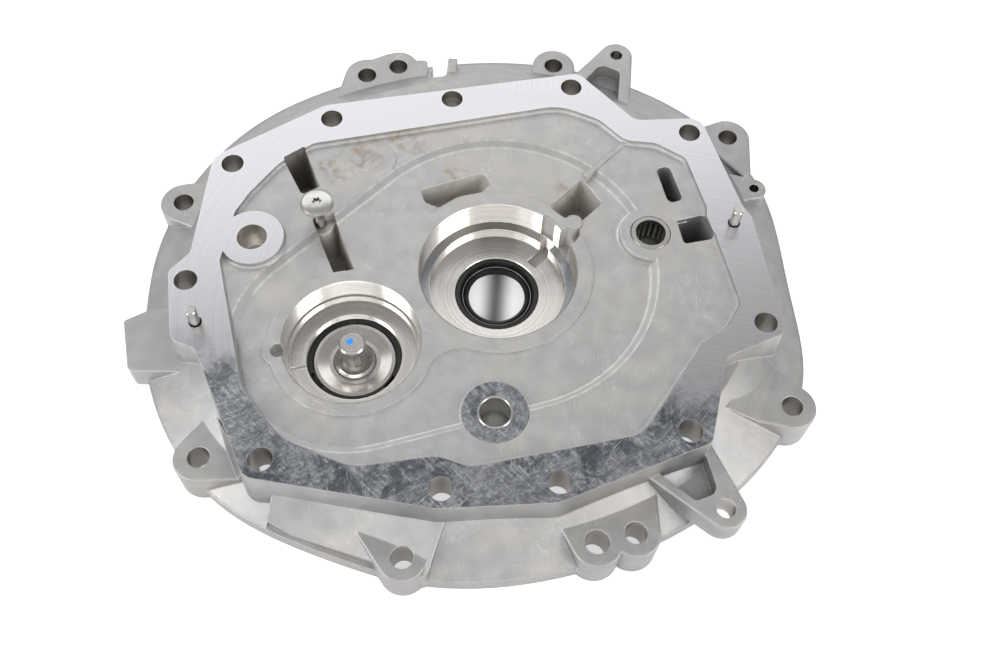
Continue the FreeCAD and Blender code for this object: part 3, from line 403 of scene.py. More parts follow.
BLOTCHES = Blotches("blotches", (("Place", "Vector", ORIGIN), ("Scale", "Float", 0.1), ("Low", "Float", 0.45),
                                 ("High", "Float", 0.65)), (("Mask", "Float"),))
SMEARS = Smears("smears", (("Place", "Vector", ORIGIN), ("Turn", "Float", 0.0)), (("Mask", "Float"),))
SCRATCHES = Scratches("scratches", (("Place", "Vector", ORIGIN),), (("Mask", "Float"),))
PLAN_DISTANCE = PlanDistance("plan_distance", (("Place", "Vector", ORIGIN), ("Centre", "Vector", ORIGIN)),
                             (("Distance", "Float"), ("Height", "Float")))


def blank_graph(owner: bpy.types.Material | bpy.types.World) -> Graph:
    """Empty the node tree of a material or a world."""
    owner.use_nodes = True
    owner.node_tree.nodes.clear()
    return Graph(owner.node_tree)


def new_material(name: str) -> tuple[bpy.types.Material, Graph, bpy.types.Node]:
    """Start a material with one Principled shader.

    Args:
        name: Name of the material.

    Returns:
        The material, its graph and the shader node.
    """
    material = bpy.data.materials.new(name)
    graph = blank_graph(material)
    shader = graph.node("BsdfPrincipled")
    graph.node("OutputMaterial", {"Surface": shader.outputs[0]})
    return material, graph, shader


def dress(node_name: str, material: bpy.types.Material) -> None:
    """Give a node of the frame its finish."""
    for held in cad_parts[node_name].material_slots:
        held.material = material
    LOG.info("dressed %s with %s", node_name, material.name)


def grey(level: float) -> Colour:
    """Neutral colour of one level."""
    return (level, level, level)


def blotch(graph: Graph, place: Socket, scale: float, low: float, high: float) -> Socket:
    """Mask of irregular stains of a scale per millimetre, between two levels of their noise."""
    return BLOTCHES.use(graph, Place=place, Scale=scale, Low=low, High=high).outputs["Mask"]


def at_axis(axis: Point, height: float = 0.0) -> Triple:
    """Point on an upright axis, in millimetres."""
    return (axis[0], axis[1], height)


# Colour of rubbed wear and scratches, and of painted highlight lines along edges.
RUB_AND_HIGHLIGHT: Colour = (0.90, 0.90, 0.89)
PIN_STEEL: Colour = (0.60, 0.58, 0.55)


@dataclass(frozen=True)
class MetalFinish:
    """Finish of a small worked metal piece."""

    name: str
    colour: Colour
    roughness: float
    grain: Grain
    axis: Point = (0.0, 0.0)
    pitch: float = 0.25
    tilt: float = 0.10
    # Colour of dirt smears, and, darkened, of painted shade in recesses.
    grime_and_shade: Colour = (0.10, 0.09, 0.08)
    grime_amount: float = 0.35
    paint: Colour | None = None
    paint_centre: Triple = ORIGIN
    paint_size: float = 1.5

    def material(self) -> bpy.types.Material:
        """Build the finish.

        Returns:
            The new material.
        """
        material, graph, shader = new_material(self.name)
        place, facing = graph.place(), graph.facing()
        amount = self.tilt if self.grain is Grain.TURNED else self.tilt * 0.4
        rings = LATHE_RINGS.use(graph, Place=place, Centre=at_axis(self.axis), Normal=facing, Pitch=self.pitch,
                                Amount=amount)
        edge = EDGE_RUB_AND_HIGHLIGHT.use(graph, Place=place, Width=0.0003).outputs["Mask"]
        tone = rings.outputs["Tone"]
        if self.grain is Grain.DRAWN:
            tone = graph.noise(graph.vector("MULTIPLY", place, (1.0, 1.0, 0.15)), 1.4, 3.0)
        smear = blotch(graph, place, 0.16, 0.5, 0.85)
        colour = graph.tint(1.0, self.colour, graph.mix(tone, grey(0.88), grey(1.08)))
        colour = graph.mix(graph.product(smear, self.grime_amount), colour, self.grime_and_shade)
        # Painted shade in recesses, from how open the surface lies.
        sunk_shade = graph.ramp(graph.openness(0.010), 0.2, 0.7, 0.9, 0.0)
        colour = graph.mix(sunk_shade, colour, graph.tint(1.0, self.grime_and_shade, grey(0.4)))
        # Rubbed wear and painted highlight along edges.
        colour = graph.mix(graph.product(edge, 0.7), colour, RUB_AND_HIGHLIGHT)
        roughness = graph.math("ADD", self.roughness, graph.product(smear, 0.12))
        metal: Any = 1.0
        if self.paint:
            reach = graph.measure("DISTANCE", place, self.paint_centre)
            fray = graph.product(graph.noise(place, 0.9, 3.0), self.paint_size * 0.9)
            ragged = graph.math("ADD", reach, fray)
            dab = graph.ramp(ragged, self.paint_size * 1.35, self.paint_size * 1.6, 1.0, 0.0)
            colour = graph.mix(dab, colour, self.paint)
            roughness = graph.blend(dab, roughness, 0.35)
            metal = graph.math("SUBTRACT", 1.0, dab)
        graph.feed(shader.inputs["Base Color"], colour)
        graph.feed(shader.inputs["Roughness"], roughness)
        graph.feed(shader.inputs["Metallic"], metal)
        bump = graph.node("Bump", {"Strength": 0.2, "Distance": 0.00001, "Height": graph.noise(place, 3.0, 3.0),
                                   "Normal": rings.outputs["Normal"]})
        graph.feed(shader.inputs["Normal"], bump.outputs[0])
        return material


@dataclass(frozen=True)
class RubberFinish:
    """Moulded rubber or plastic with turned mould marks and a dusting."""

    name: str
    colour: Colour
    roughness: float
    axis: Point
    pitch: float = 0.3
    tilt: float = 0.04
    dust: Colour = (0.30, 0.29, 0.28)
    dust_amount: float = 0.18

    def material(self) -> bpy.types.Material:
        """Build the finish.

        Returns:
            The new material.
        """
        material, graph, shader = new_material(self.name)
        place = graph.place()
        rings = LATHE_RINGS.use(graph, Place=place, Centre=at_axis(self.axis), Normal=graph.facing(),
                                Pitch=self.pitch, Amount=self.tilt)
        dusty = blotch(graph, place, 0.22, 0.42, 0.78)
        edge = EDGE_RUB_AND_HIGHLIGHT.use(graph, Place=place, Width=0.0003).outputs["Mask"]
        colour = graph.mix(graph.product(dusty, self.dust_amount), self.colour, self.dust)
        colour = graph.mix(graph.product(edge, 0.25), colour, grey(0.22))
        graph.feed(shader.inputs["Base Color"], colour)
        graph.feed(shader.inputs["Roughness"], graph.math("ADD", self.roughness, graph.product(dusty, 0.15)))
        bump = graph.node("Bump", {"Strength": 0.4, "Distance": 0.00004, "Height": graph.noise(place, 2.4, 3.0),
                                   "Normal": rings.outputs["Normal"]})
        graph.feed(shader.inputs["Normal"], bump.outputs[0])
        return material


@dataclass(frozen=True)
class Faces:
    """Places, slopes and masks of the casting's faces, as sockets of its material."""

    place: Socket
    facing: Socket
    x: Socket
    y: Socket
    z: Socket
    rise: Socket
    slope: Socket
    level: Socket
    plan: Socket
    milled: Socket
    pad: Socket
    input_bore: Socket
    at_lay: Socket
    bored: Socket
    step_bore: Socket
    drilled: Socket
    pocket: Socket
    worked: Socket


@dataclass(frozen=True)
class Wear:
    """Grain, wear and the masks of painted shade and highlights of the casting, as a node and sockets of its
    material.
    """

    grain: bpy.types.Node
    rub_and_highlight: Socket
    corners: Socket
    depths: Socket
    scratch: Socket
    speckle: Socket


@dataclass(frozen=True)
class CastingFinish:
    """Cast skin of the housing with its milled, bored and drilled faces."""

    name: str = "cast_and_machined_aluminium"
    skin: Colour = (0.525, 0.523, 0.52)
    skin_warm: Colour = (0.56, 0.535, 0.50)
    skin_cool: Colour = (0.472, 0.472, 0.474)
    milled: Colour = (0.58, 0.58, 0.60)
    # Colour of the painted dark reflection on the near side of the milled face.
    milled_dark_reflection: Colour = (0.095, 0.105, 0.125)
    smeared: Colour = (0.45, 0.46, 0.485)
    bored: Colour = (0.80, 0.775, 0.74)
    # Colour of the painted dark reflection on the sides of the input bore's shoulder.
    seat_reflection: Colour = (0.34, 0.37, 0.42)
    brown: Colour = (0.30, 0.21, 0.13)
    # Colour of painted shade in corners, deep places and drilled holes.
    recess_shade: Colour = (0.14, 0.125, 0.105)
    drill_wall: Colour = (0.60, 0.575, 0.54)
    skin_rough: float = 0.5
    milled_rough: float = 0.30
    bored_rough: float = 0.24
    drilled_rough: float = 0.33
    skin_metal: float = 0.78
    pocket_metal: float = 0.4
    flange_top: float = 40.0
    outer_floor: float = 37.0
    rail_pad: float = 35.8
    bore_rim: float = 34.5
    inner_floor: float = 33.5
    bearing_seat: float = 19.2
    rail_pad_r: float = 15.6
    input_bore_r: float = 38.0
    lay_bore_r: float = 32.0
    step_bore_r: float = 7.3
    # Directions in plan of the painted highlights on the input bore's wall.
    highlight_ways: tuple[tuple[Triple, float], ...] = (((-0.75, 0.66, 0.0), 0.80), ((0.62, 0.78, 0.0), 0.86))
    stain_spots: tuple[Triple, ...] = (
        (-72.0, 62.0, 17.0), (-85.0, 50.0, 14.0), (-25.0, 52.0, 12.0), (-50.0, 74.0, 16.0), (34.0, 50.0, 12.0),
        (-104.0, 62.0, 9.0))
    holes: tuple[Triple, ...] = (
        (-135.7, 47.9, 5.5), (-90.5, 80.6, 5.5), (-30.1, 99.0, 5.5), (31.7, 112.4, 5.5), (93.5, 87.1, 5.5),
        (-145.5, -21.4, 5.5), (126.5, -23.4, 5.5), (89.8, -81.3, 5.5), (32.8, -109.4, 5.5),
        (-17.7, -116.1, 5.5), (-96.3, -108.3, 5.5), (-79.5, 129.3, 5.0), (-63.0, 137.0, 5.0),
        (22.7, 145.3, 5.0), (118.2, 102.5, 5.0), (130.6, 69.5, 2.5), (141.8, -56.0, 5.0),
        (51.3, -128.2, 5.5), (68.3, -122.9, 5.0), (-32.8, -141.1, 5.0), (-128.2, -101.3, 5.0),
        (-162.2, 36.5, 5.0), (56.8, 148.6, 3.3), (106.7, -111.9, 4.4))

    def hole_reach(self, graph: Graph, place: Socket) -> Socket:
        """Distance outside the nearest drilled hole, in millimetres."""
        x, y, _ = graph.parts(place)
        flat = graph.joined(x, y, 0.0)
        nearest: Any = 99.0
        for hole_x, hole_y, radius in self.holes:
            reach = graph.measure("DISTANCE", flat, (hole_x, hole_y, 0.0))
            nearest = graph.math("MINIMUM", nearest, graph.math("SUBTRACT", reach, radius))
        return nearest

    def round_patch(self, graph: Graph, place: Socket, axis: Point, radius: float, low: float,
                    high: float) -> Socket:
        """Mask inside a radius and between two heights about an upright axis."""
        plan = PLAN_DISTANCE.use(graph, Place=place, Centre=at_axis(axis))
        inside = graph.ramp(plan.outputs["Distance"], radius, radius + 0.12, 1.0, 0.0)
        return graph.product(inside, graph.band(plan.outputs["Height"], low, high, 0.08))

    def stain_at(self, graph: Graph, place: Socket, x: float, y: float, reach: float) -> Socket:
        """Ragged round stain about a point in plan."""
        distance = PLAN_DISTANCE.use(graph, Place=place, Centre=(x, y, 0.0)).outputs["Distance"]
        ragged = graph.math("ADD", distance, graph.product(graph.noise(place, 0.2, 4.0, 0.65), reach * 0.8))
        return graph.ramp(ragged, reach * 0.8, reach * 1.3, 1.0, 0.0)

    def find_faces(self, graph: Graph) -> Faces:
        """Tell milled, bored, drilled and cast faces apart by place and slope.

        Args:
            graph: The material's graph.

        Returns:
            The masks of the faces.
        """
        place, facing = graph.place(), graph.facing()
        x, y, z = graph.parts(place)
        _, _, rise = graph.parts(facing)
        level = graph.ramp(rise, 0.9, 0.985)
        under = graph.ramp(rise, -0.985, -0.9, 1.0, 0.0)
        slope = graph.math("ABSOLUTE", rise)
        upright = graph.ramp(slope, 0.1, 0.3, 1.0, 0.0)
        eased_rim = graph.ramp(rise, 0.985, 0.9)
        rim_low, rim_high = self.bore_rim - 0.65, self.bore_rim - 0.1

        flange = graph.product(level, graph.ramp(z, self.flange_top - 0.12, self.flange_top - 0.04))
        engine = graph.product(under, graph.ramp(z, 0.04, 0.12, 1.0, 0.0))
        pad_low, pad_high = self.rail_pad - 0.1, self.rail_pad + 0.1
        pad = self.round_patch(graph, place, RAIL_AXIS, self.rail_pad_r, pad_low, pad_high)
        pad = graph.product(level, pad)
        input_bore = self.round_patch(graph, place, INPUT_AXIS, self.input_bore_r + 0.05, 11.0, self.bore_rim)
        input_lip = self.round_patch(graph, place, INPUT_AXIS, self.input_bore_r + 1.2, rim_low, rim_high)
        lay_bore = self.round_patch(graph, place, LAY_AXIS, self.lay_bore_r + 0.05, 4.0, self.bore_rim)
        lay_lip = self.round_patch(graph, place, LAY_AXIS, self.lay_bore_r + 1.3, rim_low, rim_high)
        at_lay = graph.highest(lay_bore, graph.product(lay_lip, eased_rim))
        step_bore = self.round_patch(graph, place, STEP_AXIS, self.step_bore_r, -1.0, self.flange_top - 0.2)
        holes = graph.product(graph.ramp(self.hole_reach(graph, place), 0.05, 0.15, 1.0, 0.0), upright)

        milled = graph.highest(flange, engine, pad)
        bored = graph.highest(input_bore, graph.product(input_lip, eased_rim), at_lay)
        drilled = graph.highest(holes, step_bore)
        plan = PLAN_DISTANCE.use(graph, Place=place, Centre=(-10.0, 0.0, 0.0)).outputs["Distance"]
        pocket = graph.product(upright, graph.ramp(plan, 96.0, 104.0, 1.0, 0.0), graph.band(z, 6.0, 36.0, 1.0))
        return Faces(place, facing, x, y, z, rise, slope, level, plan, milled, pad, input_bore, at_lay, bored,
                     step_bore, drilled, pocket, graph.highest(milled, bored, drilled))

    def find_wear(self, graph: Graph, place: Socket) -> Wear:
        """Find rubbed edges for wear and painted highlight lines, corners and deep places for painted shade,
        and scratches.
        """
        rub_and_highlight = EDGE_RUB_AND_HIGHLIGHT.use(graph, Place=place, Width=0.0009).outputs["Mask"]
        corners = graph.openness(0.005)
        depths = graph.openness(0.026)
        scratch = SCRATCHES.use(graph, Place=place).outputs["Mask"]
        speckle = graph.ramp(graph.noise(place, 0.22, 4.0, 0.75), 0.4, 0.62, 0.25, 0.85)
        return Wear(CAST_GRAIN.use(graph, Place=place), rub_and_highlight, corners, depths, scratch, speckle)

    def cast_skin(self, graph: Graph, faces: Faces, wear: Wear) -> Socket:
        """Colour of the cast skin with its warm patches, painted shade in corners and deep places, scratches
        and brown stains.
        """
        colour = graph.mix(graph.ramp(wear.grain.outputs["Broad"], 0.35, 0.68), self.skin_cool, self.skin)
        warm = blotch(graph, faces.place, 0.021, 0.48, 0.66)
        colour = graph.mix(graph.product(warm, 0.5), colour, self.skin_warm)
        colour = graph.tint(1.0, colour, graph.mix(wear.grain.outputs["Tone"], grey(0.88), grey(1.1)))
        colour = graph.mix(graph.product(wear.scratch, 0.5), colour, RUB_AND_HIGHLIGHT)
        # Painted shade in corners and deep places, from how open the surface lies.
        shade = graph.highest(graph.ramp(wear.corners, 0.2, 0.72, 0.6, 0.0),
                              graph.ramp(wear.depths, 0.06, 0.30, 0.5, 0.0))
        colour = graph.mix(shade, colour, self.recess_shade)
        stains = graph.highest(*(self.stain_at(graph, faces.place, *spot) for spot in self.stain_spots))
        thin = blotch(graph, faces.place, 0.13, 0.42, 0.7)
        stains = graph.product(stains, thin, graph.math("SUBTRACT", 1.0, faces.milled))
        return graph.mix(graph.product(stains, 0.6), colour, self.brown)

    def milled_face(self, graph: Graph, faces: Faces, wear: Wear) -> tuple[Socket, Socket, Socket]:
        """Milled faces, with a smeared oil film and a painted dark reflection on the near side of the flange.

        Args:
            graph: The material's graph.
            faces: Masks of the casting's faces.
            wear: Masks of its wear.

        Returns:
            Their colour, the height of the cutter marks and the mask of the film and the painted reflection.
        """
        place = faces.place
        sweep = MILL_SWEEPS.use(graph, Place=place, Turn=0.0, Track=-20.0, Reach=130.0, Feed=1.1)
        side_sweep = MILL_SWEEPS.use(graph, Place=place, Turn=math.radians(98), Track=-70.0, Reach=62.0,
                                     Feed=1.3)
        right = graph.ramp(faces.x, 78.0, 98.0)
        height = graph.blend(right, sweep.outputs["Height"], side_sweep.outputs["Height"])
        tone = graph.blend(right, sweep.outputs["Tone"], side_sweep.outputs["Tone"])
        face = graph.tint(1.0, self.milled, graph.mix(tone, (0.84, 0.84, 0.85), grey(1.1)))

        # Painted dark reflection on the near side of the flange, mottled by an oil film and wipe marks.
        ragged = graph.math("ADD", faces.y, graph.product(graph.noise(place, 0.05, 4.0, 0.6), 50.0))
        near = graph.highest(graph.ramp(ragged, -22.0, -52.0), faces.pad)
        film = blotch(graph, place, 0.085, 0.44, 0.56)
        broad = blotch(graph, place, 0.032, 0.43, 0.57)
        smear = SMEARS.use(graph, Place=place, Turn=0.7).outputs["Mask"]
        wiped = SMEARS.use(graph, Place=place, Turn=-0.5).outputs["Mask"]
        wipe = graph.highest(graph.product(smear, film), graph.product(wiped, broad, 0.8),
                             graph.product(broad, 0.35))
        dark = graph.mix(wipe, self.milled_dark_reflection, self.smeared)
        dark = graph.mix(graph.product(film, 0.28), dark, self.smeared)
        fleck = blotch(graph, place, 0.42, 0.42, 0.6)
        dark = graph.tint(1.0, dark, graph.mix(fleck, (0.72, 0.73, 0.76), (1.3, 1.3, 1.28)))
        face = graph.mix(graph.product(near, 0.9), face, dark)
        return graph.mix(graph.product(wear.scratch, near, 0.7), face, RUB_AND_HIGHLIGHT), height, near

    def side_tones(self, graph: Graph, faces: Faces, colour: Socket) -> Socket:
        """Darker skin outside the flange, painted shade on the near walls and painted light on the walls of the
        pockets.
        """
        outer = graph.product(graph.ramp(faces.plan, 104.0, 112.0), graph.ramp(faces.z, 22.0, 37.0, 1.0, 0.0))
        colour = graph.tint(graph.less(outer, faces.milled), colour, (0.90, 0.90, 0.905))
        # Painted shade on the near walls.
        front = graph.product(graph.ramp(faces.rise, 0.35, 0.6, 1.0, 0.0), graph.ramp(faces.y, -70.0, -100.0),
                              graph.ramp(faces.plan, 96.0, 104.0))
        colour = graph.tint(graph.less(front, faces.milled), colour, grey(0.82))
        # Painted light on the walls of the pockets.
        return graph.tint(faces.pocket, colour, (1.45, 1.42, 1.38))

    def turned_wall(self, graph: Graph, faces: Faces, rings: Socket) -> Socket:
        """Colour of the two bearing bores, with painted highlights on two sides of the input bore's wall,
        painted shade between them and a painted dark reflection on the sides of its shoulder.

        Args:
            graph: The material's graph.
            faces: Masks of the casting's faces.
            rings: Tone of the lathe rings.

        Returns:
            The colour.
        """
        wall = graph.tint(1.0, self.bored, graph.mix(rings, grey(0.72), grey(1.12)))
        # Painted highlights on two sides of the wall, painted shade on the rest of it.
        away = graph.vector("NORMALIZE", graph.joined(faces.x, faces.y, 0.0))
        painted_highlight = graph.highest(*(graph.ramp(graph.measure("DOT_PRODUCT", away, way), low, 0.985)
                                 for way, low in self.highlight_ways))
        steep = graph.ramp(faces.rise, 0.3, 0.9, 1.0, 0.3)
        highlight_and_shade = graph.mix(painted_highlight, (0.66, 0.65, 0.63), grey(1.18))
        wall = graph.tint(graph.product(faces.input_bore, steep), wall, highlight_and_shade)
        # Painted dark reflection on the left and right of the bearing shoulder.
        sides = graph.ramp(graph.math("ABSOLUTE", faces.x), 20.0, 34.0)
        seat_low, seat_high = self.bearing_seat - 0.3, self.bearing_seat + 0.3
        height = graph.band(faces.z, seat_low, seat_high, 0.1)
        shoulder_reflection = graph.product(faces.level, height, faces.input_bore, sides)
        return graph.mix(graph.product(shoulder_reflection, 0.75), wall, self.seat_reflection)

    def edge_lines(self, graph: Graph, faces: Faces, wear: Wear, colour: Socket) -> tuple[Socket, Socket]:
        """Rubbed wear and painted highlight lines along edges, and painted highlights along the brink of the
        floor's bank and the kerbs of the lands.

        Args:
            graph: The material's graph.
            faces: Masks of the casting's faces.
            wear: Masks of its wear.
            colour: Colour below the lines.

        Returns:
            The new colour and the mask of the kerbs, which carry a painted highlight.
        """
        # Rubbed wear and painted highlight lines along open edges.
        rub_and_highlight_lines = graph.product(wear.rub_and_highlight, graph.ramp(wear.corners, 0.45, 0.75),
                               graph.blend(faces.milled, 0.95, 0.55))
        colour = graph.mix(rub_and_highlight_lines, colour, RUB_AND_HIGHLIGHT)
        # Painted highlight along the brink of the bank between the floors, speckled.
        brink = graph.product(graph.band(faces.z, self.outer_floor - 0.7, self.outer_floor - 0.02, 0.1),
                              graph.band(faces.rise, 0.45, 0.97, 0.02), wear.speckle)
        colour = graph.mix(graph.product(brink, 0.65), colour, RUB_AND_HIGHLIGHT)
        # Painted highlight along the kerbs of the lands.
        kerb = graph.product(graph.band(faces.z, self.inner_floor + 0.12, self.inner_floor + 0.9, 0.08),
                             graph.ramp(faces.rise, 0.9, 0.97, 1.0, 0.0),
                             graph.ramp(faces.plan, 104.0, 110.0, 1.0, 0.0))
        kerb = graph.less(kerb, faces.bored)
        return graph.mix(graph.product(kerb, graph.blend(wear.speckle, 0.3, 0.75)), colour, RUB_AND_HIGHLIGHT), kerb

    def roughness(self, graph: Graph, faces: Faces, wear: Wear, near: Socket) -> Socket:
        """Roughness of skin and worked faces, smoother along rubbed edges."""
        tone = graph.math("SUBTRACT", wear.grain.outputs["Tone"], 0.5)
        rough = graph.math("ADD", self.skin_rough, graph.product(tone, 0.2))
        milled_rough = graph.math("ADD", self.milled_rough, graph.product(near, 0.10))
        rough = graph.blend(faces.milled, rough, milled_rough)
        rough = graph.blend(faces.bored, rough, self.bored_rough)
        rough = graph.blend(faces.drilled, rough, self.drilled_rough)
        return graph.blend(graph.product(wear.rub_and_highlight, 0.6), rough, 0.3)

    def relief(self, graph: Graph, faces: Faces, wear: Wear, kerb: Socket, mill_height: Socket,
               rings: Sequence[bpy.types.Node]) -> Socket:
        """Normal with soft cast edges, grain, cutter marks and lathe rings.

        Args:
            graph: The material's graph.
            faces: Masks of the casting's faces.
            wear: Masks of its wear.
            kerb: Mask of the lands' kerbs, which carry a painted highlight.
            mill_height: Height of the cutter marks.
            rings: Lathe rings of the input bore and of the layshaft bore.

        Returns:
            The normal.
        """
        eased = graph.node("Bevel", {"Radius": 0.0011}, samples=5).outputs[0]
        bank = graph.product(graph.band(faces.rise, 0.45, 0.93, 0.04),
                             graph.band(faces.z, self.inner_floor + 0.1, self.outer_floor - 0.05, 0.05))
        eased = graph.blend_vector(graph.highest(graph.product(bank, 0.75), kerb), eased, (0.0, 0.1, 1.0))
        normal = graph.blend_vector(faces.worked, eased, faces.facing)
        normal = graph.blend_vector(faces.input_bore, normal, rings[0].outputs["Normal"])
        normal = graph.blend_vector(faces.at_lay, normal, rings[1].outputs["Normal"])
        skin_height = graph.product(wear.grain.outputs["Height"], graph.math("SUBTRACT", 1.0, faces.worked))
        cast = graph.node("Bump", {"Strength": 0.6, "Distance": 0.0003, "Height": skin_height,
                                   "Normal": normal})
        sweeps = graph.product(mill_height, faces.milled)
        return graph.node("Bump", {"Strength": 0.5, "Distance": 0.00003, "Height": sweeps,
                                   "Normal": cast.outputs[0]}).outputs[0]

    def lathe_rings(self, graph: Graph, faces: Faces) -> list[bpy.types.Node]:
        """Rings of the input bore and of the layshaft bore, leaned up on their walls."""
        swing = graph.ramp(faces.slope, 0.2, 0.9, 1.3, 0.42)
        lean = graph.ramp(faces.slope, 0.2, 0.9, 1.15, 0.0)
        return [LATHE_RINGS.use(graph, Place=faces.place, Centre=at_axis(axis), Normal=faces.facing,
                                Pitch=pitch, Amount=swing, Lean=lean)
                for axis, pitch in ((INPUT_AXIS, 0.16), (LAY_AXIS, 0.2))]

    def material(self) -> bpy.types.Material:
        """Build the finish.

        Returns:
            The new material.
        """
        material, graph, shader = new_material(self.name)
        faces = self.find_faces(graph)
        wear = self.find_wear(graph, faces.place)
        rings = self.lathe_rings(graph, faces)
        face, mill_height, near = self.milled_face(graph, faces, wear)
        colour = graph.mix(faces.milled, self.cast_skin(graph, faces, wear), face)
        colour = self.side_tones(graph, faces, colour)
        ring_tone = graph.blend(faces.at_lay, rings[0].outputs["Tone"], rings[1].outputs["Tone"])
        colour = graph.mix(faces.bored, colour, self.turned_wall(graph, faces, ring_tone))
        plain_hole = graph.product(faces.drilled, graph.math("SUBTRACT", 1.0, faces.bored))
        colour = graph.mix(plain_hole, colour, self.drill_wall)
        # Painted shade deep in the drilled holes.
        sunk_shade = graph.product(faces.drilled, graph.math("SUBTRACT", 1.0, faces.step_bore),
                             graph.ramp(wear.depths, 0.1, 0.6, 0.75, 0.0))
        colour = graph.mix(sunk_shade, colour, self.recess_shade)
        colour, kerb = self.edge_lines(graph, faces, wear, colour)
        graph.feed(shader.inputs["Base Color"], colour)
        graph.feed(shader.inputs["Roughness"], self.roughness(graph, faces, wear, near))
        skin_metal = graph.blend(faces.pocket, self.skin_metal, self.pocket_metal)
        graph.feed(shader.inputs["Metallic"], graph.blend(faces.worked, skin_metal, 1.0))
        graph.feed(shader.inputs["Normal"], self.relief(graph, faces, wear, kerb, mill_height, rings))
        return material


@dataclass
class Housing:
    """The casting itself."""

    finish: CastingFinish = field(default_factory=CastingFinish)

    def dress(self) -> None:
        """Give the casting its cast and machined finish."""
        dress("housing", self.finish.material())


@dataclass
class SmallMetal:
    """Pins, bearing parts, bush, spindle and key."""

    finishes: dict[str, MetalFinish] = field(default_factory=lambda: {
        "dowel_pin_left": MetalFinish("ground_pin_steel", PIN_STEEL, 0.24, Grain.GROUND, LEFT_PIN_AXIS),
        "dowel_pin_right": MetalFinish("ground_pin_steel_right", PIN_STEEL, 0.24, Grain.GROUND, RIGHT_PIN_AXIS),
        "seal_spring": MetalFinish("spring_steel_wire", (0.22, 0.22, 0.22), 0.25, Grain.DRAWN),
        "needle_shell": MetalFinish("drawn_cup_steel", (0.40, 0.39, 0.38), 0.3, Grain.DRAWN, NEEDLE_AXIS),
        "needle_cage": MetalFinish("cage_steel_dark", (0.09, 0.09, 0.09), 0.42, Grain.DRAWN, NEEDLE_AXIS),
        "needle_rollers": MetalFinish("polished_roller_steel", (0.72, 0.70, 0.67), 0.16, Grain.GROUND,
                                      NEEDLE_AXIS, grime_amount=0.1),
        "rail_bush": MetalFinish("bush_steel_bright", (0.72, 0.71, 0.69), 0.22, Grain.TURNED, RAIL_AXIS),
        "spindle": MetalFinish("turned_spindle_steel", (0.60, 0.575, 0.55), 0.24, Grain.TURNED, LAY_AXIS,
                               pitch=0.7, tilt=0.12, grime_amount=0.06, paint=(0.02, 0.30, 0.85),
                               paint_centre=(-66.4, -43.8, 32.0), paint_size=1.6),
        "spindle_key": MetalFinish("key_steel_bright", (0.62, 0.60, 0.57), 0.3, Grain.GROUND, LAY_AXIS),
    })

    def dress(self) -> None:
        """Give every small metal piece its finish."""
        for name, finish in self.finishes.items():
            dress(name, finish.material())


@dataclass
class Rubber:
    """Shaft seal and the ring round the spindle."""

    seal: RubberFinish = RubberFinish("black_seal_rubber", (0.008, 0.008, 0.009), 0.36, INPUT_AXIS,
                                      dust_amount=0.06)
    ring: RubberFinish = RubberFinish("black_moulded_ring", (0.010, 0.010, 0.011), 0.42, LAY_AXIS,
                                      dust_amount=0.08)

    def dress(self) -> None:
        """Give the seal and the ring their finish."""
        dress("input_seal", self.seal.material())
        dress("spindle_ring", self.ring.material())


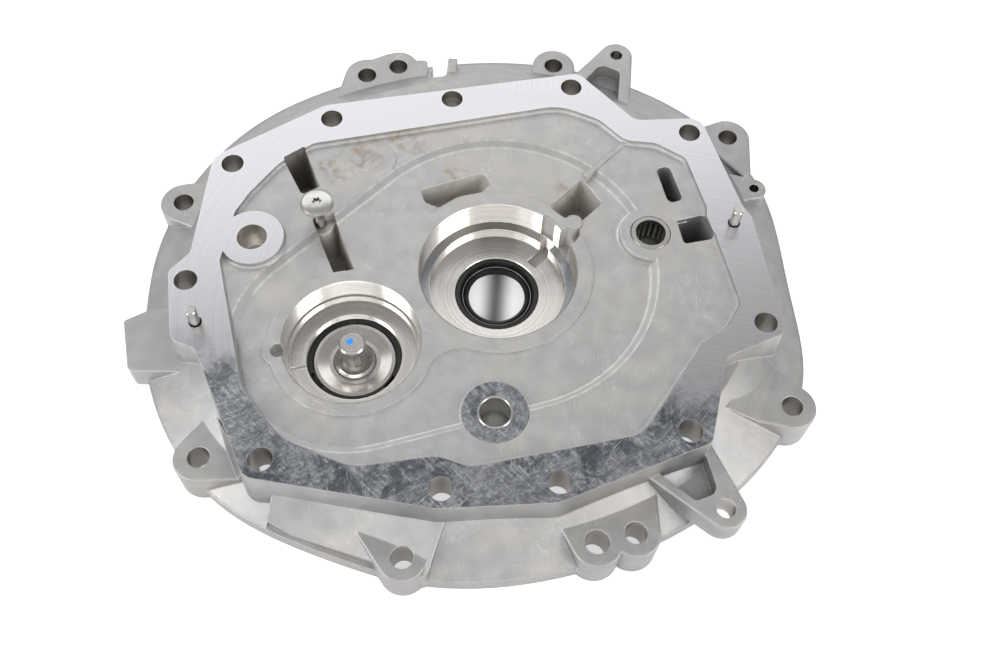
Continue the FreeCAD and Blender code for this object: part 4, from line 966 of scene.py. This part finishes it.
@dataclass
class BridgeScrew:
    """Flange head screw with its thread and six-lobed socket, in millimetres."""

    centre: Point = SCREW_AXIS
    head_top: float = 51.0
    head_thick: float = 2.3
    head_r: float = 8.0
    crown_r: float = 6.9
    socket_r: float = 1.9
    lobe: float = 0.38
    socket_deep: float = 1.3
    shank_r: float = 2.5
    core_r: float = 2.05
    pitch: float = 0.8
    tip: float = 22.0
    segments: int = 72
    thread_lock: Colour = (0.42, 0.05, 0.03)
    # Colour of the painted shade on the thread.
    thread_shade: Colour = (0.05, 0.045, 0.04)
    finish: MetalFinish = MetalFinish("zinc_plated_screw", (0.60, 0.59, 0.56), 0.28, Grain.TURNED, SCREW_AXIS,
                                      pitch=0.5, tilt=0.08, grime_amount=0.15)

    def ring(self, mesh: bmesh.types.BMesh, edges: list[bmesh.types.BMEdge], radius: float, height: float,
             lobe: float = 0.0) -> list[bmesh.types.BMEdge]:
        """Extrude a closed ring of edges to a new radius and height.

        Args:
            mesh: The mesh that is being built.
            edges: The ring to extrude.
            radius: New radius.
            height: New height.
            lobe: How far six lobes swing the radius in and out.

        Returns:
            The new ring of edges.
        """
        made = bmesh.ops.extrude_edge_only(mesh, edges=edges)["geom"]
        self.shape_ring([part for part in made if isinstance(part, bmesh.types.BMVert)], radius, height, lobe)
        return [part for part in made if isinstance(part, bmesh.types.BMEdge)]

    def shape_ring(self, verts: Iterable[bmesh.types.BMVert], radius: float, height: float,
                   lobe: float) -> None:
        """Move a ring's points to a radius and height, with six lobes if asked."""
        for vert in verts:
            turn = math.atan2(vert.co.y, vert.co.x)
            reach = radius + lobe * math.cos(6 * (turn - math.radians(15)))
            vert.co = Vector((reach * math.cos(turn), reach * math.sin(turn), height))

    def head(self, mesh: bmesh.types.BMesh) -> None:
        """Model socket, crown, flange and smooth core in one closed skin."""
        made = bmesh.ops.create_circle(mesh, cap_ends=True, segments=self.segments, radius=self.socket_r)
        bottom = self.head_top - self.socket_deep
        self.shape_ring(made["verts"], self.socket_r - 0.1, bottom, self.lobe)
        edges = [edge for edge in mesh.edges if edge.is_boundary]
        under = self.head_top - self.head_thick
        profile = (
            (self.socket_r, self.head_top - 0.3, self.lobe), (self.socket_r + 0.2, self.head_top, self.lobe),
            (self.crown_r - 0.25, self.head_top, 0.0), (self.crown_r, self.head_top - 0.12, 0.0),
            (self.crown_r + 0.5, self.head_top - 0.35, 0.0), (self.head_r - 0.5, under + 1.5, 0.0),
            (self.head_r - 0.1, under + 1.3, 0.0), (self.head_r, under + 1.0, 0.0),
            (self.head_r, under + 0.2, 0.0), (self.head_r - 0.15, under, 0.0), (self.shank_r, under, 0.0),
            (self.core_r, under - 0.5, 0.0), (self.core_r, self.tip + 0.9, 0.0),
            (self.core_r - 0.7, self.tip, 0.0))
        for radius, height, lobe in profile:
            edges = self.ring(mesh, edges, radius, height, lobe)
        bmesh.ops.contextual_create(mesh, geom=edges)

    def thread(self, mesh: bmesh.types.BMesh) -> None:
        """Sweep one thread ridge round the core."""
        start, stop = self.tip + 1.1, self.head_top - self.head_thick - 1.0
        turns = (stop - start) / self.pitch
        steps = int(turns * 36)
        base = self.core_r - 0.12
        half = self.pitch * 0.5
        corners = [mesh.verts.new(point) for point in (
            (base, 0.0, start - half), (self.shank_r - 0.06, 0.0, start - 0.1),
            (self.shank_r - 0.06, 0.0, start + 0.1), (base, 0.0, start + half))]
        first = mesh.faces.new(corners)
        bmesh.ops.spin(mesh, geom=[first], cent=(0, 0, 0), axis=(0, 0, 1), dvec=(0, 0, (stop - start) / steps),
                       angle=math.tau * turns, steps=steps, use_merge=False, use_duplicate=False)

    def build(self) -> None:
        """Make the screw, put it in its hole and let it stand for the plain one."""
        mesh = bmesh.new()
        self.head(mesh)
        self.thread(mesh)
        bmesh.ops.recalc_face_normals(mesh, faces=mesh.faces)
        place = Matrix.Translation(Vector(at_axis(self.centre)) * MM) @ Matrix.Scale(MM, 4)
        bmesh.ops.transform(mesh, matrix=place, verts=mesh.verts)
        data = bpy.data.meshes.new("threaded_screw")
        mesh.to_mesh(data)
        mesh.free()
        for polygon in data.polygons:
            polygon.use_smooth = True
        data.set_sharp_from_angle(angle=math.radians(32))
        piece = bpy.data.objects.new("threaded_screw", data)
        bpy.context.scene.collection.objects.link(piece)
        data.materials.append(self.material())
        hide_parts("bridge_screw")
        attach(piece, "case")
        LOG.info("built %s with %d faces", piece.name, len(data.polygons))

    def material(self) -> bpy.types.Material:
        """Zinc finish with a band of red thread lock and painted shade on the thread under the head.

        Returns:
            The new material.
        """
        material = self.finish.material()
        graph = Graph(material.node_tree)
        shader = next(node for node in material.node_tree.nodes if node.type == "BSDF_PRINCIPLED")
        place = graph.place()
        plan = PLAN_DISTANCE.use(graph, Place=place, Centre=at_axis(self.centre))
        reach, height = plan.outputs["Distance"], plan.outputs["Height"]
        ragged = graph.math("ADD", height, graph.product(graph.noise(place, 0.9, 2.0), 1.6))
        shank = graph.ramp(reach, 2.55, 2.6, 1.0, 0.0)
        band = graph.product(shank, graph.band(ragged, 45.0, 47.9, 0.5))
        plain = shader.inputs["Base Color"].links[0].from_socket
        # Painted shade on the thread under the head, deepest at the thread's roots.
        dark = graph.product(shank, graph.ramp(reach, 2.08, 2.5, 1.0, 0.35),
                             graph.ramp(height, 46.9, 47.2, 1.0, 0.0))
        colour = graph.mix(graph.product(dark, 0.85), plain, self.thread_shade)
        colour = graph.mix(graph.product(band, 0.8), colour, self.thread_lock)
        graph.feed(shader.inputs["Base Color"], colour)
        return material


@dataclass(frozen=True)
class Softbox:
    """One rectangular lamp aimed at the middle of the object."""

    name: str
    place: Triple
    width: float
    height: float
    watts: float
    colour: Colour = (1.0, 1.0, 1.0)

    def build(self, aim: Vector) -> None:
        """Hang the lamp."""
        lamp = bpy.data.lights.new(self.name, "AREA")
        lamp.shape = "RECTANGLE"
        lamp.size, lamp.size_y = self.width, self.height
        lamp.energy = self.watts
        lamp.color = self.colour
        holder = bpy.data.objects.new(self.name, lamp)
        holder.location = self.place
        holder.rotation_mode = "QUATERNION"
        holder.rotation_quaternion = (aim - Vector(self.place)).to_track_quat("-Z", "Y")
        bpy.context.scene.collection.objects.link(holder)


@dataclass
class Studio:
    """Floor, lamps, surroundings and camera."""

    floor_size: float = 14.0
    floor_colour: Colour = (0.66, 0.66, 0.665)
    # Floor colours below the input bore: pale sides and a painted shadow streak.
    bore_colour: Colour = (0.66, 0.66, 0.68)
    shadow_streak_colour: Colour = (0.12, 0.12, 0.13)
    floor_glow: float = 0.62
    front_horizon: float = 0.68
    back_horizon: float = 0.32
    zenith: float = 0.42
    softboxes: Sequence[Softbox] = (
        Softbox("back_softbox", (-0.30, 1.10, 1.08), 2.3, 0.8, 7.6),
        Softbox("left_softbox", (-1.15, -0.60, 0.80), 0.7, 0.8, 8.5, (1.0, 0.99, 0.97)),
        Softbox("right_softbox", (1.15, -0.60, 0.80), 0.7, 0.8, 7.5, (1.0, 0.99, 0.97)),
        Softbox("front_top_softbox", (0.0, -0.85, 1.30), 1.2, 0.7, 4.5, (1.0, 0.99, 0.97)),
    )
    camera_place: Triple = (0.002876, -0.285804, 0.482115)
    camera_rows: tuple[Triple, ...] = (
        (0.99776, -0.06684, 0.0), (0.05830, 0.87035, -0.4890), (0.03268, 0.48790, 0.8723))
    lens: float = 39.65
    sensor: float = 36.0

    def seen_ray(self, graph: Graph) -> Socket:
        """One where a ray comes from the camera, a gloss or a glass."""
        rays = graph.node("LightPath").outputs
        mirror = graph.math("MAXIMUM", rays["Is Glossy Ray"], rays["Is Transmission Ray"])
        return graph.math("MAXIMUM", rays["Is Camera Ray"], mirror)

    def floor(self) -> None:
        """Lay a pale floor that glows where it is seen, with a painted shadow streak below the input bore."""
        mesh = bmesh.new()
        bmesh.ops.create_grid(mesh, x_segments=1, y_segments=1, size=self.floor_size / 2)
        data = bpy.data.meshes.new("floor")
        mesh.to_mesh(data)
        mesh.free()
        piece = bpy.data.objects.new("floor", data)
        piece.location.z = -0.0001
        bpy.context.scene.collection.objects.link(piece)
        material = bpy.data.materials.new("pale_floor")
        graph = blank_graph(material)
        place = graph.place()
        across, _, _ = graph.parts(place)
        away = PLAN_DISTANCE.use(graph, Place=place, Centre=ORIGIN).outputs["Distance"]
        # Under the housing the floor takes a painted shadow: a dark streak below the input bore, pale at its
        # sides, with less glow.
        inside = graph.ramp(away, 60.0, 85.0, 1.0, 0.0)
        streak = graph.ramp(graph.math("ABSOLUTE", graph.math("ADD", across, 0.5)), 0.0, 10.0, 0.08, 1.0)
        pale = graph.mix(inside, self.floor_colour, graph.mix(streak, self.shadow_streak_colour, self.bore_colour))
        plain = graph.node("BsdfDiffuse", {"Color": pale})
        lit = graph.blend(inside, 1.0, graph.product(streak, 0.85))
        level = graph.product(self.seen_ray(graph), self.floor_glow, lit)
        glow = graph.node("Emission", {"Color": (0.985, 0.98, 1.0), "Strength": level})
        both = graph.node("AddShader", {0: plain.outputs[0], 1: glow.outputs[0]})
        graph.node("OutputMaterial", {"Surface": both.outputs[0]})
        data.materials.append(material)

    def surroundings(self) -> None:
        """Fade the world from a bright horizon to a dim zenith."""
        world = bpy.data.worlds.new("studio")
        bpy.context.scene.world = world
        graph = blank_graph(world)
        _, away, up = graph.parts(graph.node("TexCoord").outputs["Generated"])
        horizon = graph.ramp(away, -0.6, 0.5, self.front_horizon, self.back_horizon)
        level = graph.blend(graph.ramp(up, 0.25, 0.95), horizon, self.zenith)
        camera = graph.node("LightPath").outputs["Is Camera Ray"]
        strength = graph.blend(camera, level, 1.0)
        glow = graph.node("Background", {"Color": grey(1.0), "Strength": strength})
        graph.node("OutputWorld", {"Surface": glow.outputs[0]})

    def camera(self) -> None:
        """Place the camera at the photograph's viewing angle."""
        data = bpy.data.cameras.new("camera")
        data.lens = self.lens
        data.sensor_width = self.sensor
        data.clip_start = 0.01
        holder = bpy.data.objects.new("camera", data)
        holder.matrix_world = Matrix.Translation(self.camera_place) @ Matrix(self.camera_rows).to_4x4()
        bpy.context.scene.collection.objects.link(holder)
        bpy.context.scene.camera = holder

    def build(self) -> None:
        """Set up the whole studio."""
        self.floor()
        self.surroundings()
        for softbox in self.softboxes:
            softbox.build(Vector((0.0, 0.0, 0.02)))
        self.camera()
        bpy.context.scene.view_settings.view_transform = "Standard"
        LOG.info("studio ready with %d softboxes", len(self.softboxes))


def main() -> None:
    """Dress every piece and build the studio."""
    logging.basicConfig(level=logging.INFO, format="%(name)s %(message)s")
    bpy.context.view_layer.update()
    Housing().dress()
    SmallMetal().dress()
    Rubber().dress()
    BridgeScrew().build()
    Studio().build()


if __name__ == "__main__":
    main()
